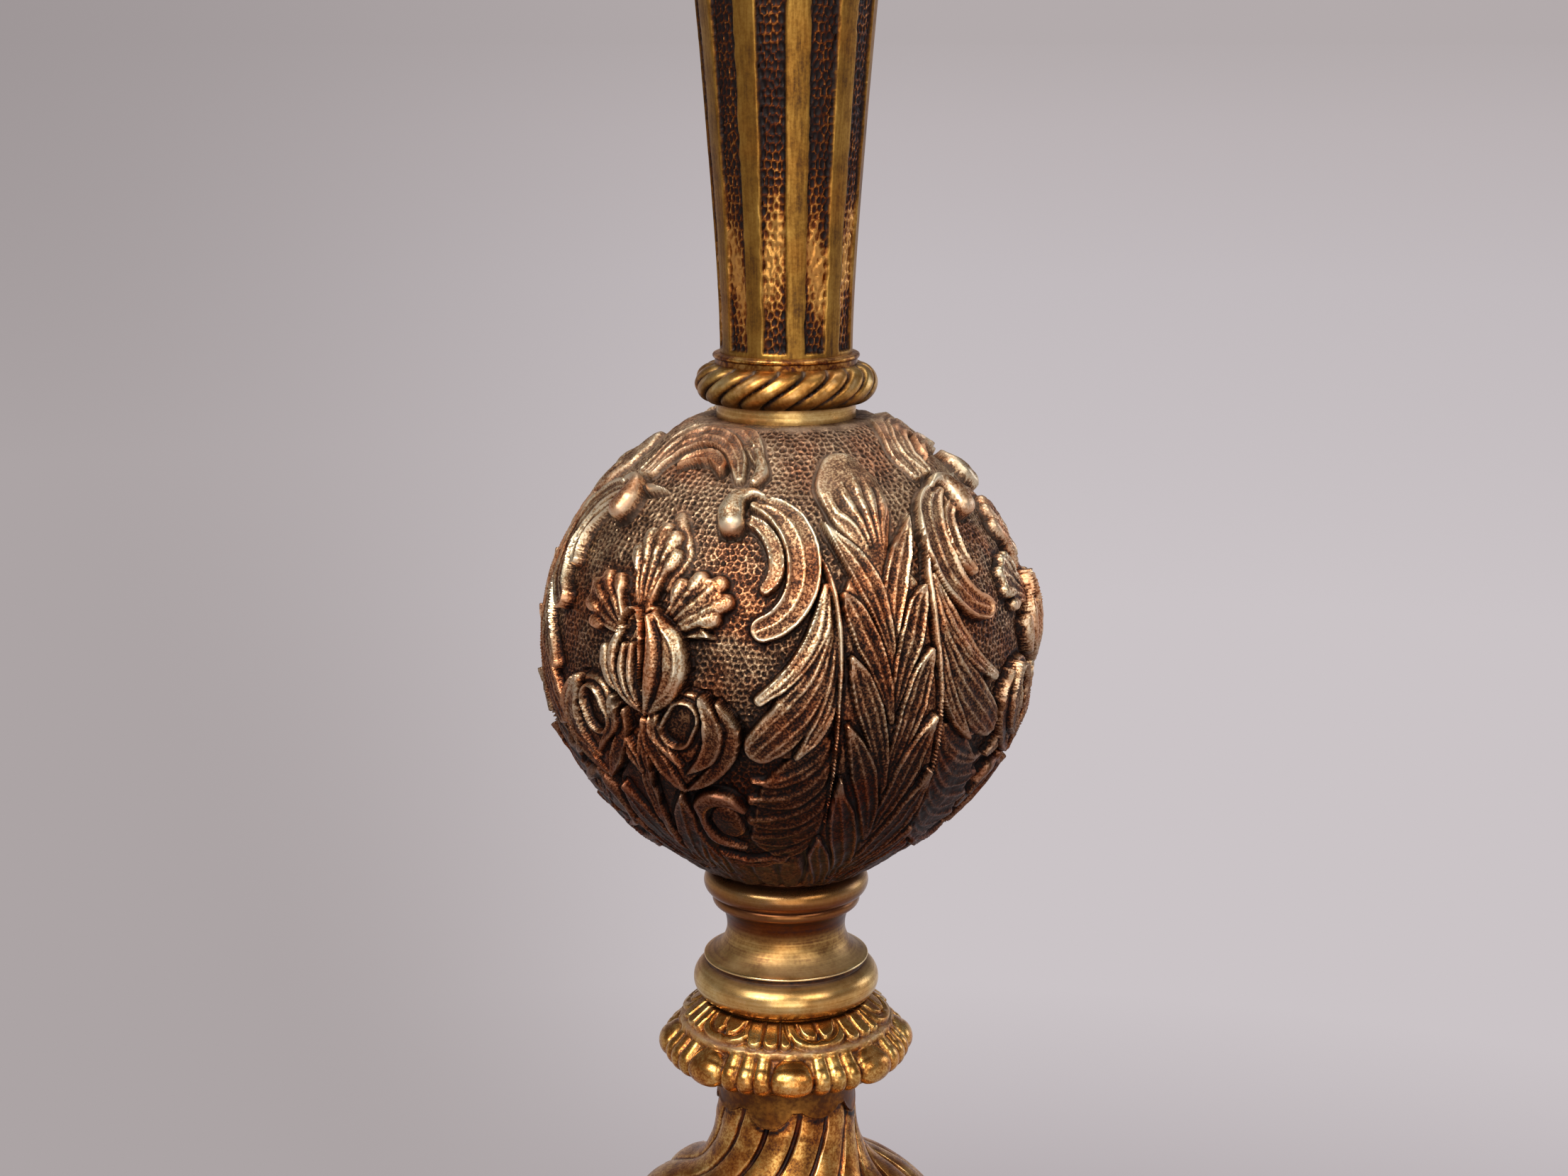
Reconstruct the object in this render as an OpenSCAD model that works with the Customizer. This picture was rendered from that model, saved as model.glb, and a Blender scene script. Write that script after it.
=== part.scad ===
// Torchere candle stand: turned and cast brass sections stacked on a steel tie rod.
// Millimetres, +Z up. The origin is on the floor, on the axis of the stem.

/* [Ball] */
// Radius of the ball's plain ground, under its raised leaves
ball_r = 84.9; // [83:0.1:87]
// Height of the ball's centre above the floor
ball_z = 720; // [718:1:722]
// How far the leaves of the ball stand off its ground
leaf_lift = 4; // [3:0.5:5]
// Wall of the hollow castings
cast_wall = 3; // [2.5:0.5:3.5]

/* [Fluted shaft] */
// Radius of the shaft at its foot
shaft_foot_r = 23.4; // [23.2:0.1:24]
// Largest radius of the shaft, near its top
shaft_max_r = 43; // [42:1:45]
// Length of the shaft
shaft_h = 340; // [330:5:350]
// Number of plain bands, and of sunk bands between them
flutes = 10; // [8:1:12]
// Share of each repeat that the plain band takes
band_share = 0.46; // [0.4:0.01:0.55]
// Depth of the sunk bands
flute_depth = 1; // [0.6:0.1:1.4]

/* [Rope rings] */
// Outer radius of a rope ring
rope_r = 32.4; // [32:0.1:33]
// Radius of the rope itself
rope_thick = 6.8; // [6.5:0.1:7]
// Number of twisted strands
rope_strands = 19; // [17:1:22]
// Depth of the grooves between strands
rope_groove = 1.9; // [1:0.1:2.4]
// Angle round the ring that a strand turns through over its face, in degrees
rope_lead = 18; // [10:1:24]

/* [Gadroon disc] */
// Radius of the disc without its eggs
disc_r = 47.2; // [46.5:0.1:48]
// Depth of the grooves between eggs and reeds
egg_groove = 2.2; // [1.5:0.1:3]
// Number of eggs round the rim
eggs = 8; // [6:1:10]
// Number of small reeds between two eggs
reeds = 3; // [2:1:3]

/* [Spiral bulb] */
// Largest radius of the bulb
bulb_r = 66; // [62:1:70]
// Number of spiral lobes
lobes = 14; // [12:2:18]
// Depth of the grooves between lobes at the belly
lobe_groove = 3.2; // [2:0.2:4]
// Slope of the spiral against the upright, in degrees
spiral_slope = 38; // [30:1:45]

/* [Foot] */
// Radius of the round plinth
plinth_r = 165; // [160:1:170]
// Height of the bun feet
foot_h = 30; // [28:1:32]
// Radius on which the three bun feet stand
foot_circle_r = 128; // [120:1:132]

/* [Candle fittings] */
// Inner radius of the candle cup
candle_r = 19.6; // [18:0.1:20]
// Depth of the candle cup
candle_depth = 46; // [40:1:50]
// Radius of the drip pan
pan_r = 92; // [85:1:100]
// How far the drip pan lifts off
pan_clearance = 1.2; // [1:0.1:1.5]

/* [Tie rod] */
// Radius of the steel rod that clamps the stack
rod_r = 6; // [5.5:0.5:6.5]
// Gap between the rod and the bores it runs through
rod_gap = 0.6; // [0.4:0.1:0.8]
// Radius of the turned register between two sections
register_r = 11; // [10.5:0.5:12]
// Height of the register
register_h = 3; // [2:0.5:3]

/* [Hidden] */
$fn = 96;

brass = [0.72, 0.55, 0.25];
dark_brass = [0.42, 0.28, 0.14];
bright_brass = [0.80, 0.62, 0.26];
steel = [0.55, 0.56, 0.58];
iron = [0.25, 0.25, 0.26];

bore_r = rod_r + rod_gap;
register_gap = 0.15;
register_play = 0.3;

// Heights of the joints between sections, from the ball downwards.
disc_h = 23.4;
spool_h = 51.1;
spool_z = ball_z - 84 - spool_h;
disc_z = spool_z - disc_h;
lappet_h = 14.5;
bulb_z = 372;
bulb_h = disc_z - bulb_z;
plinth_z = foot_h;
plinth_h = 26;
border_z = plinth_z + plinth_h;
border_h = 18;
dome_z = border_z + border_h;
dome_h = 148;
leaf_h = 3;
dome_leaves = 8;
base_ring_z = dome_z + dome_h;
base_ring_h = 10;
base_spool_z = base_ring_z + base_ring_h;
base_spool_h = 62;
base_rope_z = base_spool_z + base_spool_h;
rope_h = 2 * rope_thick;
bulb_cup_z = base_rope_z + rope_h;

// Heights of the sections above the ball.
collar_z = ball_z + 82;
rope_z = ball_z + 94;
ring_z = rope_z + rope_thick;
ring_h = 4;
shaft_z = ring_z + ring_h;
upper_rope_z = shaft_z + shaft_h + rope_thick;
capital_z = shaft_z + shaft_h + rope_h;
capital_h = 78;
cup_z = capital_z + capital_h;
cup_floor = 14;
cup_h = candle_depth + cup_floor;
cup_r = candle_r + 3.4;
pan_bore_r = cup_r + 1.6 + pan_clearance;
pan_lip_h = 14;

// Turns that bring the repeats to the places they have in front.
band_start = -82;
egg_start = -87.2;
tongue_start = -104.4;
lobe_start = -77.6;

plate_z = plinth_z + 2;
plate_h = 12;
plate_r = plinth_r - 19;
boss_r = 15.8;
stud_r = 3.2;
nut_h = 10;
washer_h = 3;
rod_z = plate_z - nut_h - washer_h + 1;

// ---- Outlines: each point is [radius, height] ----

// Points along an arc about [cr, cz], from angle a to angle b.
function arc(cr, cz, r, a, b, n = 8) =
    [for (i = [0:n]) let (t = a + (b - a) * i / n) [cr + r * cos(t), cz + r * sin(t)]];

// Points along a cubic curve from a to d, drawn towards b and c.
function curve(a, b, c, d, n = 10) =
    [for (i = [0:n]) let (t = i / n, u = 1 - t)
        u * u * u * a + 3 * u * u * t * b + 3 * u * t * t * c + t * t * t * d];

// The same outline, raised by dz.
function raised(points, dz) = [for (p = points) [p[0], p[1] + dz]];

// Closes an outline, drawn upwards, with a recess below, a register above and the rod's bore.
function section(outer, h) = concat(
    [[bore_r, register_h + register_play],
     [register_r + register_gap, register_h + register_play],
     [register_r + register_gap, 0]],
    outer,
    [[register_r, h], [register_r, h + register_h], [bore_r, h + register_h]]);

module turned(outer, h, z) translate([0, 0, z]) rotate_extrude() polygon(section(outer, h));

module ring_about(count, start = 0) for (i = [0:count - 1]) rotate(start + 360 * i / count) children();

// A closed skin over a grid of points: rows of rings from bottom to top, with flat ends.
module grid_solid(rings) {
    rows = len(rings);
    cols = len(rings[0]);
    wall = [for (j = [0:rows - 2], i = [0:cols - 1]) let (k = (i + 1) % cols)
        each [[j * cols + i, (j + 1) * cols + k, j * cols + k],
              [j * cols + i, (j + 1) * cols + i, (j + 1) * cols + k]]];
    foot = [for (i = [0:cols - 1]) i];
    head = [for (i = [cols - 1:-1:0]) (rows - 1) * cols + i];
    polyhedron(points = [for (ring = rings) each ring], faces = concat(wall, [foot, head]), convexity = 6);
}

// ---- Foot ----

module bun_foot(angle) {
    profile = concat(
        [[0, 0]], [[11, 0]],
        curve([11, 0], [24, 1], [26, 10], [23.5, 15], 8),
        curve([23.5, 15], [21, 20.5], [15, 21], [12, 22], 6),
        arc(14, 24, 2.2, -90, 90, 6),
        [[13, foot_h], [0, foot_h]]);
    color(brass) rotate(angle) translate([foot_circle_r, 0, 0]) difference() {
        rotate_extrude() polygon(profile);
        translate([0, 0, 7.5]) cylinder(r = stud_r + 0.05, h = foot_h);
    }
}

// Steel studs that hold the feet to the plinth.
module foot_studs() color(steel) ring_about(3, 30)
    translate([foot_circle_r, 0, 8]) cylinder(r = stud_r, h = foot_h + 5);

// Iron disc that closes the foot, weights it and takes the pull of the rod.
module ballast_plate() color(iron) difference() {
    translate([0, 0, plate_z]) cylinder(r = plate_r, h = plate_h);
    cylinder(r = bore_r, h = foot_h * 2);
    ring_about(3, 30) translate([foot_circle_r, 0, 0]) cylinder(r = boss_r + 4.2, h = foot_h * 2);
}

module bottom_washer() color(steel) translate([0, 0, plate_z - washer_h]) difference() {
    cylinder(r = 17, h = washer_h);
    translate([0, 0, -1]) cylinder(r = bore_r, h = washer_h + 2);
}

module hex_nut(z, h, across = 19) translate([0, 0, z]) difference() {
    cylinder(r = across / sqrt(3), h = h, $fn = 6);
    translate([0, 0, -1]) cylinder(r = rod_r + 0.05, h = h + 2);
}

module bottom_nut() color(steel) hex_nut(plate_z - washer_h - nut_h, nut_h);

// Ring-shaped lowest moulding, with a ledge over the ballast plate and a boss for each foot.
module plinth() {
    outer = concat(
        [[plinth_r - 4, 0], [plinth_r, 2]],
        [[plinth_r, 9], [plinth_r - 3, 10]],
        arc(plinth_r - 8, 16, 6, -80, 80, 8),
        [[plinth_r - 9, 23], [plinth_r - 12, 23.5], [plinth_r - 12, plinth_h]]);
    ledge_z = plate_z + plate_h - plinth_z;
    inner = [[plate_r, plinth_h], [plate_r - 8, ledge_z + 5], [plate_r - 8, ledge_z],
        [plate_r, ledge_z], [plate_r, 0]];
    color(brass) translate([0, 0, plinth_z]) difference() {
        union() {
            rotate_extrude() polygon(concat(outer, inner));
            ring_about(3, 30) translate([foot_circle_r, 0, 0]) cylinder(r = boss_r, h = ledge_z + 5);
            ring_about(3, 30) translate([foot_circle_r + 6, -8, 0]) cube([14, 16, ledge_z + 5]);
        }
        ring_about(3, 30) translate([foot_circle_r, 0, -1]) cylinder(r = stud_r + 0.05, h = 14.5);
    }
}

// Border ring: a half-round between two fillets.
module base_border() {
    r = plinth_r - 12;
    outer = concat(
        [[r, 0], [r, 2], [r - 2, 2.6], [r - 2, 3.2]],
        arc(r - 2, 7.8, 4.5, -80, 80, 8),
        [[r - 2, 12.4], [r - 2, 13], [r - 0.6, 13.6], [r - 0.6, 15], [r - 9.6, 16.6], [r - 10, border_h]]);
    inner = [[r - 15, border_h], [r - 15, 0]];
    color(bright_brass) translate([0, 0, border_z]) rotate_extrude() polygon(concat(outer, inner));
}

// Outline moved outwards by a height, but no higher than a limit.
function proud(points, h, limit) = [for (i = [0:len(points) - 1])
    let (a = points[max(0, i - 1)], b = points[min(len(points) - 1, i + 1)], n = norm(b - a))
    [points[i][0] + h * (b[1] - a[1]) / n, min(limit, points[i][1] - h * (b[0] - a[0]) / n)]];

// Leaf on the dome, seen from above: distances from the axis and half widths.
big_leaf = [[24, 6], [31, 7], [36, 11], [52, 16], [80, 19], [104, 16], [122, 8], [131, 1]];
small_leaf = [[58, 3], [70, 8], [88, 10.4], [104, 7.6], [116, 1]];

module leaf_prism(leaf) linear_extrude(dome_h) polygon(concat(
    [for (p = leaf) [p[0], p[1]]], [for (i = [len(leaf) - 1:-1:0]) [leaf[i][0], -leaf[i][1]]]));

// Hollow domed foot: an ogee that rises to the neck of the base, with leaves that fall from it.
module base_dome() {
    r = plinth_r - 22;
    swell = curve([r, 0], [r, 26], [r - 14, 40], [92, 50], 10);
    rise = curve([92, 50], [60, 62], [35, 82], [31, dome_h], 10);
    line = concat(swell, [for (p = rise) if (p[0] < 92) p]);
    inner_rise = curve([27, dome_h - 8], [31, 76], [56, 58], [88, 46], 8);
    inner_swell = curve([88, 46], [r - 18, 36], [r - 4, 22], [r - 4, 0], 8);
    outline = concat(
        line,
        [[register_r, dome_h], [register_r, dome_h + register_h], [bore_r, dome_h + register_h],
         [bore_r, dome_h - 8]],
        inner_rise, inner_swell);
    under = proud(line, -1, dome_h);
    color(brass) translate([0, 0, dome_z]) {
        rotate_extrude() polygon(outline);
        for (k = [0, 1]) intersection() {
            rotate_extrude() polygon(concat(proud(line, k ? 2 : leaf_h, dome_h),
                [for (i = [len(under) - 1:-1:0]) under[i]]));
            ring_about(dome_leaves, -90 + k * 180 / dome_leaves) leaf_prism(k ? small_leaf : big_leaf);
        }
    }
}

module base_ring() {
    outer = concat([[31, 0]], arc(33, base_ring_h / 2, 4.4, -90, 90, 10), [[31, base_ring_h]]);
    color(bright_brass) turned(outer, base_ring_h, base_ring_z);
}

module base_spool() {
    outer = concat(
        arc(29, 5, 5, -90, 80, 8),
        [[27.5, 11], [26.5, 12]],
        curve([26.5, 12], [17, 22], [17, 42], [25, 52], 10),
        [[26.5, 53], [26.5, 54]],
        arc(26, 58, 4, -80, 90, 8));
    color(brass) turned(outer, base_spool_h, base_spool_z);
}

// ---- Rope rings ----

// A ring of twisted strands: each groove runs round the ring as it climbs the rope's face.
module rope(outer_r, z, strands, around = 10) {
    ring_r = outer_r - rope_thick;
    along = strands * 4;
    rings = [for (j = [0:around]) [for (i = [0:along - 1])
        let (side = -90 + 180 * j / around,
             turn = 360 * i / along + rope_lead * side / 90,
             lift = abs(side) < 89 ? 1 : 0,
             thick = rope_thick - rope_groove * lift * pow(1 - abs(sin(180 * (i % 4) / 4)), 2),
             out = ring_r + thick * cos(side))
        [out * cos(turn), out * sin(turn), z + thick * sin(side)]]];
    difference() {
        grid_solid(rings);
        translate([0, 0, z - rope_thick - 1]) cylinder(r = bore_r, h = rope_h + 2);
        translate([0, 0, z - rope_thick - 1]) cylinder(r = register_r + register_gap, h = register_h + 1.3);
    }
    translate([0, 0, z + rope_thick]) difference() {
        cylinder(r = register_r, h = register_h);
        translate([0, 0, -1]) cylinder(r = bore_r, h = register_h + 2);
    }
}

module base_rope_ring() color(bright_brass) rope(rope_r + 3, base_rope_z + rope_thick, rope_strands, 6);

module rope_ring() color(bright_brass) rope(rope_r, rope_z, rope_strands, 8);

module upper_rope_ring() color(bright_brass) rope(rope_r + 8, upper_rope_z, rope_strands + 3, 6);

// ---- Spiral bulb ----

// Turned cup that the bulb's tail stands in.
module bulb_cup() {
    h = bulb_z - bulb_cup_z + 10;
    outer = concat(
        [[24, 0]],
        curve([24, 0], [19, 6], [17, 16], [23, 26], 8),
        curve([23, 26], [29, 36], [36, 40], [37, h - 3], 8),
        arc(35.6, h - 1.4, 1.4, 0, 90, 3));
    inner = concat([[33, h]], curve([33, h], [32, h - 4], [31, h - 9], [27.6, h - 10], 4));
    outline = concat(
        [[bore_r, register_h + register_play],
         [register_r + register_gap, register_h + register_play],
         [register_r + register_gap, 0]],
        outer, inner, [[bore_r, h - 10]]);
    color(brass) translate([0, 0, bulb_cup_z]) rotate_extrude() polygon(outline);
}

neck_r = 25.4;
neck_slope = 12;
bulb_outline = concat(
    curve([26.5, 0], [36, 34], [bulb_r, 54], [bulb_r, 94], 9),
    [for (p = curve([bulb_r, 94], [bulb_r, 116], [60, 127], [46, 137.4], 5)) if (p[1] > 94) p],
    [[40, 141], [35, 144], [31, 148], [28.2, 153.5], [26.3, 159], [neck_r, 164.5],
     [neck_r, bulb_h - lappet_h]]);

// Angle that the spiral has turned through at each point of the outline, less steeply on the neck.
function spiral_turn(points, slope, end) = [for (i = 0, turn = 0; i < len(points);
    turn = turn + (i + 1 < len(points)
        ? norm(points[i + 1] - points[i]) / (points[i][0] + points[i + 1][0]) * 2 * 180 / PI
            * tan(neck_slope + (slope - neck_slope) * min(1, (end - points[i + 1][1]) / 26))
        : 0),
    i = i + 1) turn];

// Hollow bulb with spiral lobes, which start at the neck and close on the tail.
module spiral_bulb() {
    rising = spiral_turn(bulb_outline, spiral_slope, bulb_h - lappet_h);
    turns = [for (turn = rising) turn - rising[len(rising) - 1]];
    cols = lobes * 4;
    rings = [for (j = [0:len(bulb_outline) - 1])
        let (p = bulb_outline[j], depth = lobe_groove * min(1, pow(p[0] / bulb_r, 2)))
        [for (i = [0:cols - 1])
            let (r = p[0] - depth * pow(1 - abs(sin(180 * (i % 4) / 4)), 2))
            [r * cos(360 * i / cols + turns[j]), r * sin(360 * i / cols + turns[j]), p[1]]]];
    wall = lobe_groove + cast_wall + 1;
    hollow = [for (p = bulb_outline) if (p[1] > 14 && p[1] < bulb_h - 24) [p[0] - wall, p[1]]];
    color(brass) translate([0, 0, bulb_z]) rotate(lobe_start) difference() {
        union() {
            grid_solid(rings);
            translate([0, 0, bulb_h - lappet_h]) cylinder(r = neck_r - 3, h = lappet_h);
            translate([0, 0, bulb_h]) cylinder(r = register_r, h = register_h);
        }
        translate([0, 0, -1]) cylinder(r = bore_r, h = bulb_h + 9);
        translate([0, 0, -1]) cylinder(r = register_r + register_gap, h = register_h + 1.3);
        rotate_extrude() polygon(concat([[0, 10]], hollow, [[0, bulb_h - 20]]));
    }
}

// Smooth collar round the bulb's neck, with long and short tongues that hang over the lobes.
module lappet_collar() {
    top = bulb_h - lappet_h;
    sleeve = [[neck_r - 3, top], [neck_r, top], [neck_r, top - 9], [neck_r + 0.8, top - 9],
        [neck_r + 0.8, bulb_h], [neck_r - 3, bulb_h]];
    color(dark_brass) translate([0, 0, bulb_z]) intersection() {
        rotate_extrude() polygon(sleeve);
        union() {
            translate([0, 0, top]) cylinder(r = 2 * neck_r, h = lappet_h);
            ring_about(4, tongue_start) tongue(8.6, 6.2, top);
            ring_about(4, tongue_start + 45) tongue(7.6, 3.2, top);
        }
    }
}

// One tongue, as a rounded peg through the collar: half its width, and its drop.
module tongue(half, drop, z) translate([0, 0, z]) rotate([90, 0, 90]) linear_extrude(2 * neck_r)
    polygon([[half, 3], [-half, 3], [-half, -0.1 * drop], [-0.9 * half, -0.42 * drop],
        [-0.68 * half, -0.74 * drop], [-0.36 * half, -0.94 * drop], [0, -drop],
        [0.36 * half, -0.94 * drop], [0.68 * half, -0.74 * drop], [0.9 * half, -0.42 * drop],
        [half, -0.1 * drop]]);

// ---- Gadroon disc ----

disc_outline = concat(
    [[27, 0], [34, -0.7], [disc_r - 5, -1.1]],
    [for (t = [-66, -44, -22, 0, 22, 44]) [disc_r - 8.3 + 8.3 * cos(t), 5.6 + 7.2 * sin(t)]],
    [[41.6, 13.6], [39.4, 15.2], [36, 18.1], [31, 21.9], [29, disc_h]]);

// Share of the groove's depth that shows at each point of the outline.
disc_share = [for (p = disc_outline) p[0] > 42.5 ? 1 : 0];

// Rim profile at a place within one repeat, from 0 to 1: one egg, then a row of reeds.
function gadroon(t) =
    let (egg = 0.42, u = t < egg ? t / egg : ((t - egg) / (1 - egg) * reeds) % 1,
         swell = sin(180 * u))
    t < egg ? egg_groove * (sqrt(swell) - 0.85) : egg_groove * (0.55 * sqrt(swell) - 0.85);

module gadroon_disc() {
    cols_egg = 6;
    cols_reed = 3;
    places = concat(
        [for (i = [0:cols_egg - 1]) 0.42 * i / cols_egg],
        [for (i = [0:reeds * cols_reed - 1]) 0.42 + 0.58 * i / (reeds * cols_reed)]);
    turns = [for (k = [0:eggs - 1], t = places) [(k + t - 0.21) * 360 / eggs, gadroon(t)]];
    rings = [for (j = [0:len(disc_outline) - 1]) [for (t = turns)
        let (r = disc_outline[j][0] + disc_share[j] * t[1])
        [r * cos(t[0]), r * sin(t[0]), disc_outline[j][1]]]];
    color(bright_brass) translate([0, 0, disc_z]) rotate(egg_start) difference() {
        union() {
            grid_solid(rings);
            translate([0, 0, disc_h]) cylinder(r = register_r, h = register_h);
        }
        translate([0, 0, -1]) cylinder(r = bore_r, h = disc_h + 9);
        translate([0, 0, -1]) cylinder(r = register_r + register_gap, h = register_h + 1.3);
    }
}

// ---- Spool ----

module spool() {
    outer = concat(
        [[27.6, 0]],
        arc(27.5, 7.3, 6.8, -88, 62, 10),
        [[31.5, 12.6], [31.5, 13.4], [30.8, 14]],
        curve([30.8, 14], [24.6, 17], [22, 22], [21.8, 27.4], 8),
        [for (p = curve([21.8, 27.4], [21.8, 31], [22.8, 34], [24.6, 36], 4)) if (p[1] > 27.4) p],
        arc(24.7, 38.4, 2.5, -70, 50, 6),
        arc(25.4, 45, 4.9, -58, 90, 8),
        [[24.5, 50], [24.5, spool_h]]);
    color(brass) turned(outer, spool_h, spool_z);
}

// ---- Ball ----

// Outlines of the main ornament, as angles round the ball and up it. The leaves stand about 24.
leaf_axis = 24;
flower_axis = -36;
repeats = 3;

leaf_side = [[17, -62.4], [9.2, -38], [12.4, -33], [12.3, -18.5], [15, -19], [13.3, -4.6], [15.8, -5],
    [14, 11], [16.6, 10.6], [13, 25], [17, 23.6], [10.4, 40.6], [20.6, 34]];
palmette = [[24, 29.6], [20, 38], [13, 43], [11.4, 50], [15.4, 57.6], [22.6, 61], [29.8, 57.6],
    [33.4, 50], [31.8, 43], [27.4, 38]];
blade = [[9, 18.6], [2, 8.6], [-7.4, -0.6], [-2.6, -2.6], [-9.6, -5.4], [-9.6, -15.6], [-3, -14.4],
    [2, -14], [7.6, -5], [10.9, 5], [11.4, 18.6]];
fingers = [[9.6, -11], [3.6, -16.6], [-7.6, -17.2], [-9, -43], [0, -43.4], [7.4, -38], [10.6, -22]];
side_scroll = [[-10, 47], [-3, 47.6], [4, 43.4], [8.8, 35], [8.8, 28], [6, 20], [1, 15], [-7, 13.4],
    [-8, 17], [-2, 19.4], [0.6, 24.6], [1.4, 30], [-0.4, 36], [-5, 40.6], [-10, 42], [-12.8, 37],
    [-18, 36], [-21, 40], [-18.6, 46.4], [-14, 48.4]];
top_scroll = [[-65, 51], [-62.6, 58.6], [-52, 65], [-36, 67.6], [-20, 65], [-9.4, 58.6], [-7, 51],
    [-16.4, 50.6], [-19, 56], [-27, 60.4], [-36, 62], [-45, 60.4], [-53, 56], [-55.6, 50.6]];
petals = [
    [[-37, 19], [-42.4, 30], [-41, 36.4], [-35, 39], [-29, 36.4], [-28.4, 31], [-32.6, 19]],
    [[-42, 12], [-52, 13.4], [-55.6, 20], [-53, 25.4], [-45.4, 25], [-39, 18.4]],
    [[-30.6, 18.4], [-27, 25], [-20, 28.6], [-13.4, 27.6], [-14, 20], [-18, 15.6], [-25.4, 13]]];
low_leaves = [[-27, -62.6], [-23.6, -40], [-26, -23.6], [-31, -31], [-35.2, -27], [-39.6, -31],
    [-44.2, -23.6], [-49, -40], [-44, -62.6]];
// Round forms: angle round, angle up, radius, and how far they stand out of the ball.
knobs = [[-33, 7, 16, 7], [-21.8, -9, 15, 5.6], [-50.2, -9, 15, 5.6], [-16.4, -31, 9, 4.4],
    [-55.6, -31, 9, 4.4]];
relief_h = 2.8;
cap_rise = 2.4;

function mirrored(points, axis) = [for (i = [len(points) - 1:-1:0]) [2 * axis - points[i][0], points[i][1]]];

// Where a direction's ray meets the plane at a distance of 1 that faces another direction.
function on_plane(p, c) =
    let (turn = p[0] - c[0],
         depth = cos(p[1]) * cos(turn) * cos(c[1]) + sin(p[1]) * sin(c[1]),
         up = sin(p[1]) * cos(c[1]) - cos(p[1]) * cos(turn) * sin(c[1]))
    [cos(p[1]) * sin(turn) / depth, up / depth];

// Wedge from near the ball's centre outwards, with sides that all point at the centre.
module wedge(points, c, near) {
    far = ball_r + 6;
    flat = [for (p = points) near * on_plane(p, c)];
    rotate([90, 0, c[0]]) rotate([-c[1], 0, 0]) translate([0, 0, near])
        linear_extrude(far - near, scale = far / near) polygon(flat);
}

module ornament() {
    wedge(concat(leaf_side, [[leaf_axis, 27.6]], mirrored(leaf_side, leaf_axis)), [leaf_axis, -10], 46);
    wedge(palmette, [leaf_axis, 45], 70);
    wedge(top_scroll, [flower_axis, 60], 60);
    wedge(low_leaves, [flower_axis, -42], 70);
    for (petal = petals) wedge(petal, [flower_axis, 22], 70);
    for (side = [0, 1]) {
        wedge(side ? mirrored(blade, leaf_axis) : blade, [side ? 2 * leaf_axis - 1 : 1, 2], 70);
        wedge(side ? mirrored(fingers, leaf_axis) : fingers, [side ? 2 * leaf_axis - 1 : 1, -28], 70);
        wedge(side ? mirrored(side_scroll, leaf_axis) : side_scroll, [side ? 2 * leaf_axis + 4 : -4, 32], 64);
    }
}

module shell(inner, outer) difference() {
    sphere(r = outer);
    sphere(r = inner);
}

// Fuller cap of the ball beside a collar: its side, up or down, and the angle where it starts.
module cap(side, start) {
    line = [for (t = [0:6]) let (a = start + 3 * t, k = min(1, t / 4),
        r = ball_r - 0.2 + (cap_rise + 0.2) * k * k * (3 - 2 * k)) [r * cos(a), side * r * sin(a)]];
    rotate_extrude() polygon(concat([[0, side * 40]], line, [[0, line[6][1]]]));
}

// Hollow ball, turned flat where the collars meet it, with the main forms of its cast relief.
module ball() {
    foot = ball_z - 84;
    head = ball_z + 82;
    color(dark_brass) difference() {
        union() {
            intersection() {
                union() {
                    translate([0, 0, ball_z]) sphere(r = ball_r);
                    translate([0, 0, ball_z]) ring_about(repeats) for (knob = knobs)
                        rotate([0, 0, knob[0]]) rotate([-knob[1], 0, 0])
                            translate([0, -(ball_r + knob[3] - knob[2]), 0]) sphere(r = knob[2]);
                    translate([0, 0, ball_z]) intersection() {
                        shell(ball_r - 1, ball_r + relief_h);
                        ring_about(repeats) ornament();
                    }
                    translate([0, 0, ball_z]) cap(1, 54);
                    translate([0, 0, ball_z]) cap(-1, 58);
                }
                translate([0, 0, foot]) cylinder(r = 2 * ball_r, h = head - foot);
            }
            translate([0, 0, head]) cylinder(r = register_r, h = register_h);
        }
        difference() {
            translate([0, 0, ball_z]) sphere(r = ball_r - cast_wall);
            translate([0, 0, foot - 1]) cylinder(r = 26, h = cast_wall + 6);
            translate([0, 0, head - cast_wall - 4]) cylinder(r = 26, h = cast_wall + 6);
        }
        translate([0, 0, foot - 1]) cylinder(r = bore_r, h = 4 * ball_r);
        translate([0, 0, foot - 1]) cylinder(r = register_r + register_gap, h = register_h + 1.3);
    }
}

module ball_collar() {
    outer = [[24.7, 0], [24.7, rope_z - rope_thick - collar_z]];
    color(bright_brass) turned(outer, rope_z - rope_thick - collar_z, collar_z);
}

// ---- Shaft ----

module shaft_ring() {
    outer = concat([[25.4, 0], [25.6, 2.4]], arc(24.6, 3, 1, -20, 90, 4));
    color(bright_brass) turned(outer, ring_h, ring_z);
}

function shaft_outline() = concat(
    curve([shaft_foot_r, 0], [shaft_foot_r + 0.1, 20], [shaft_foot_r + 1.8, 43], [shaft_foot_r + 4, 72], 5),
    [for (p = curve([shaft_foot_r + 4, 72], [shaft_foot_r + 9.2, 143],
        [shaft_max_r, 230], [shaft_max_r, shaft_h - 52], 8)) if (p[1] > 72) p],
    [for (p = curve([shaft_max_r, shaft_h - 52], [shaft_max_r, shaft_h - 22],
        [shaft_max_r - 5, shaft_h - 8], [shaft_max_r - 10, shaft_h], 6)) if (p[1] > shaft_h - 52) p]);

// Outline between two heights, taken in by depth.
function inset(points, depth) = [for (p = points) [p[0] - depth, p[1]]];

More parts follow.
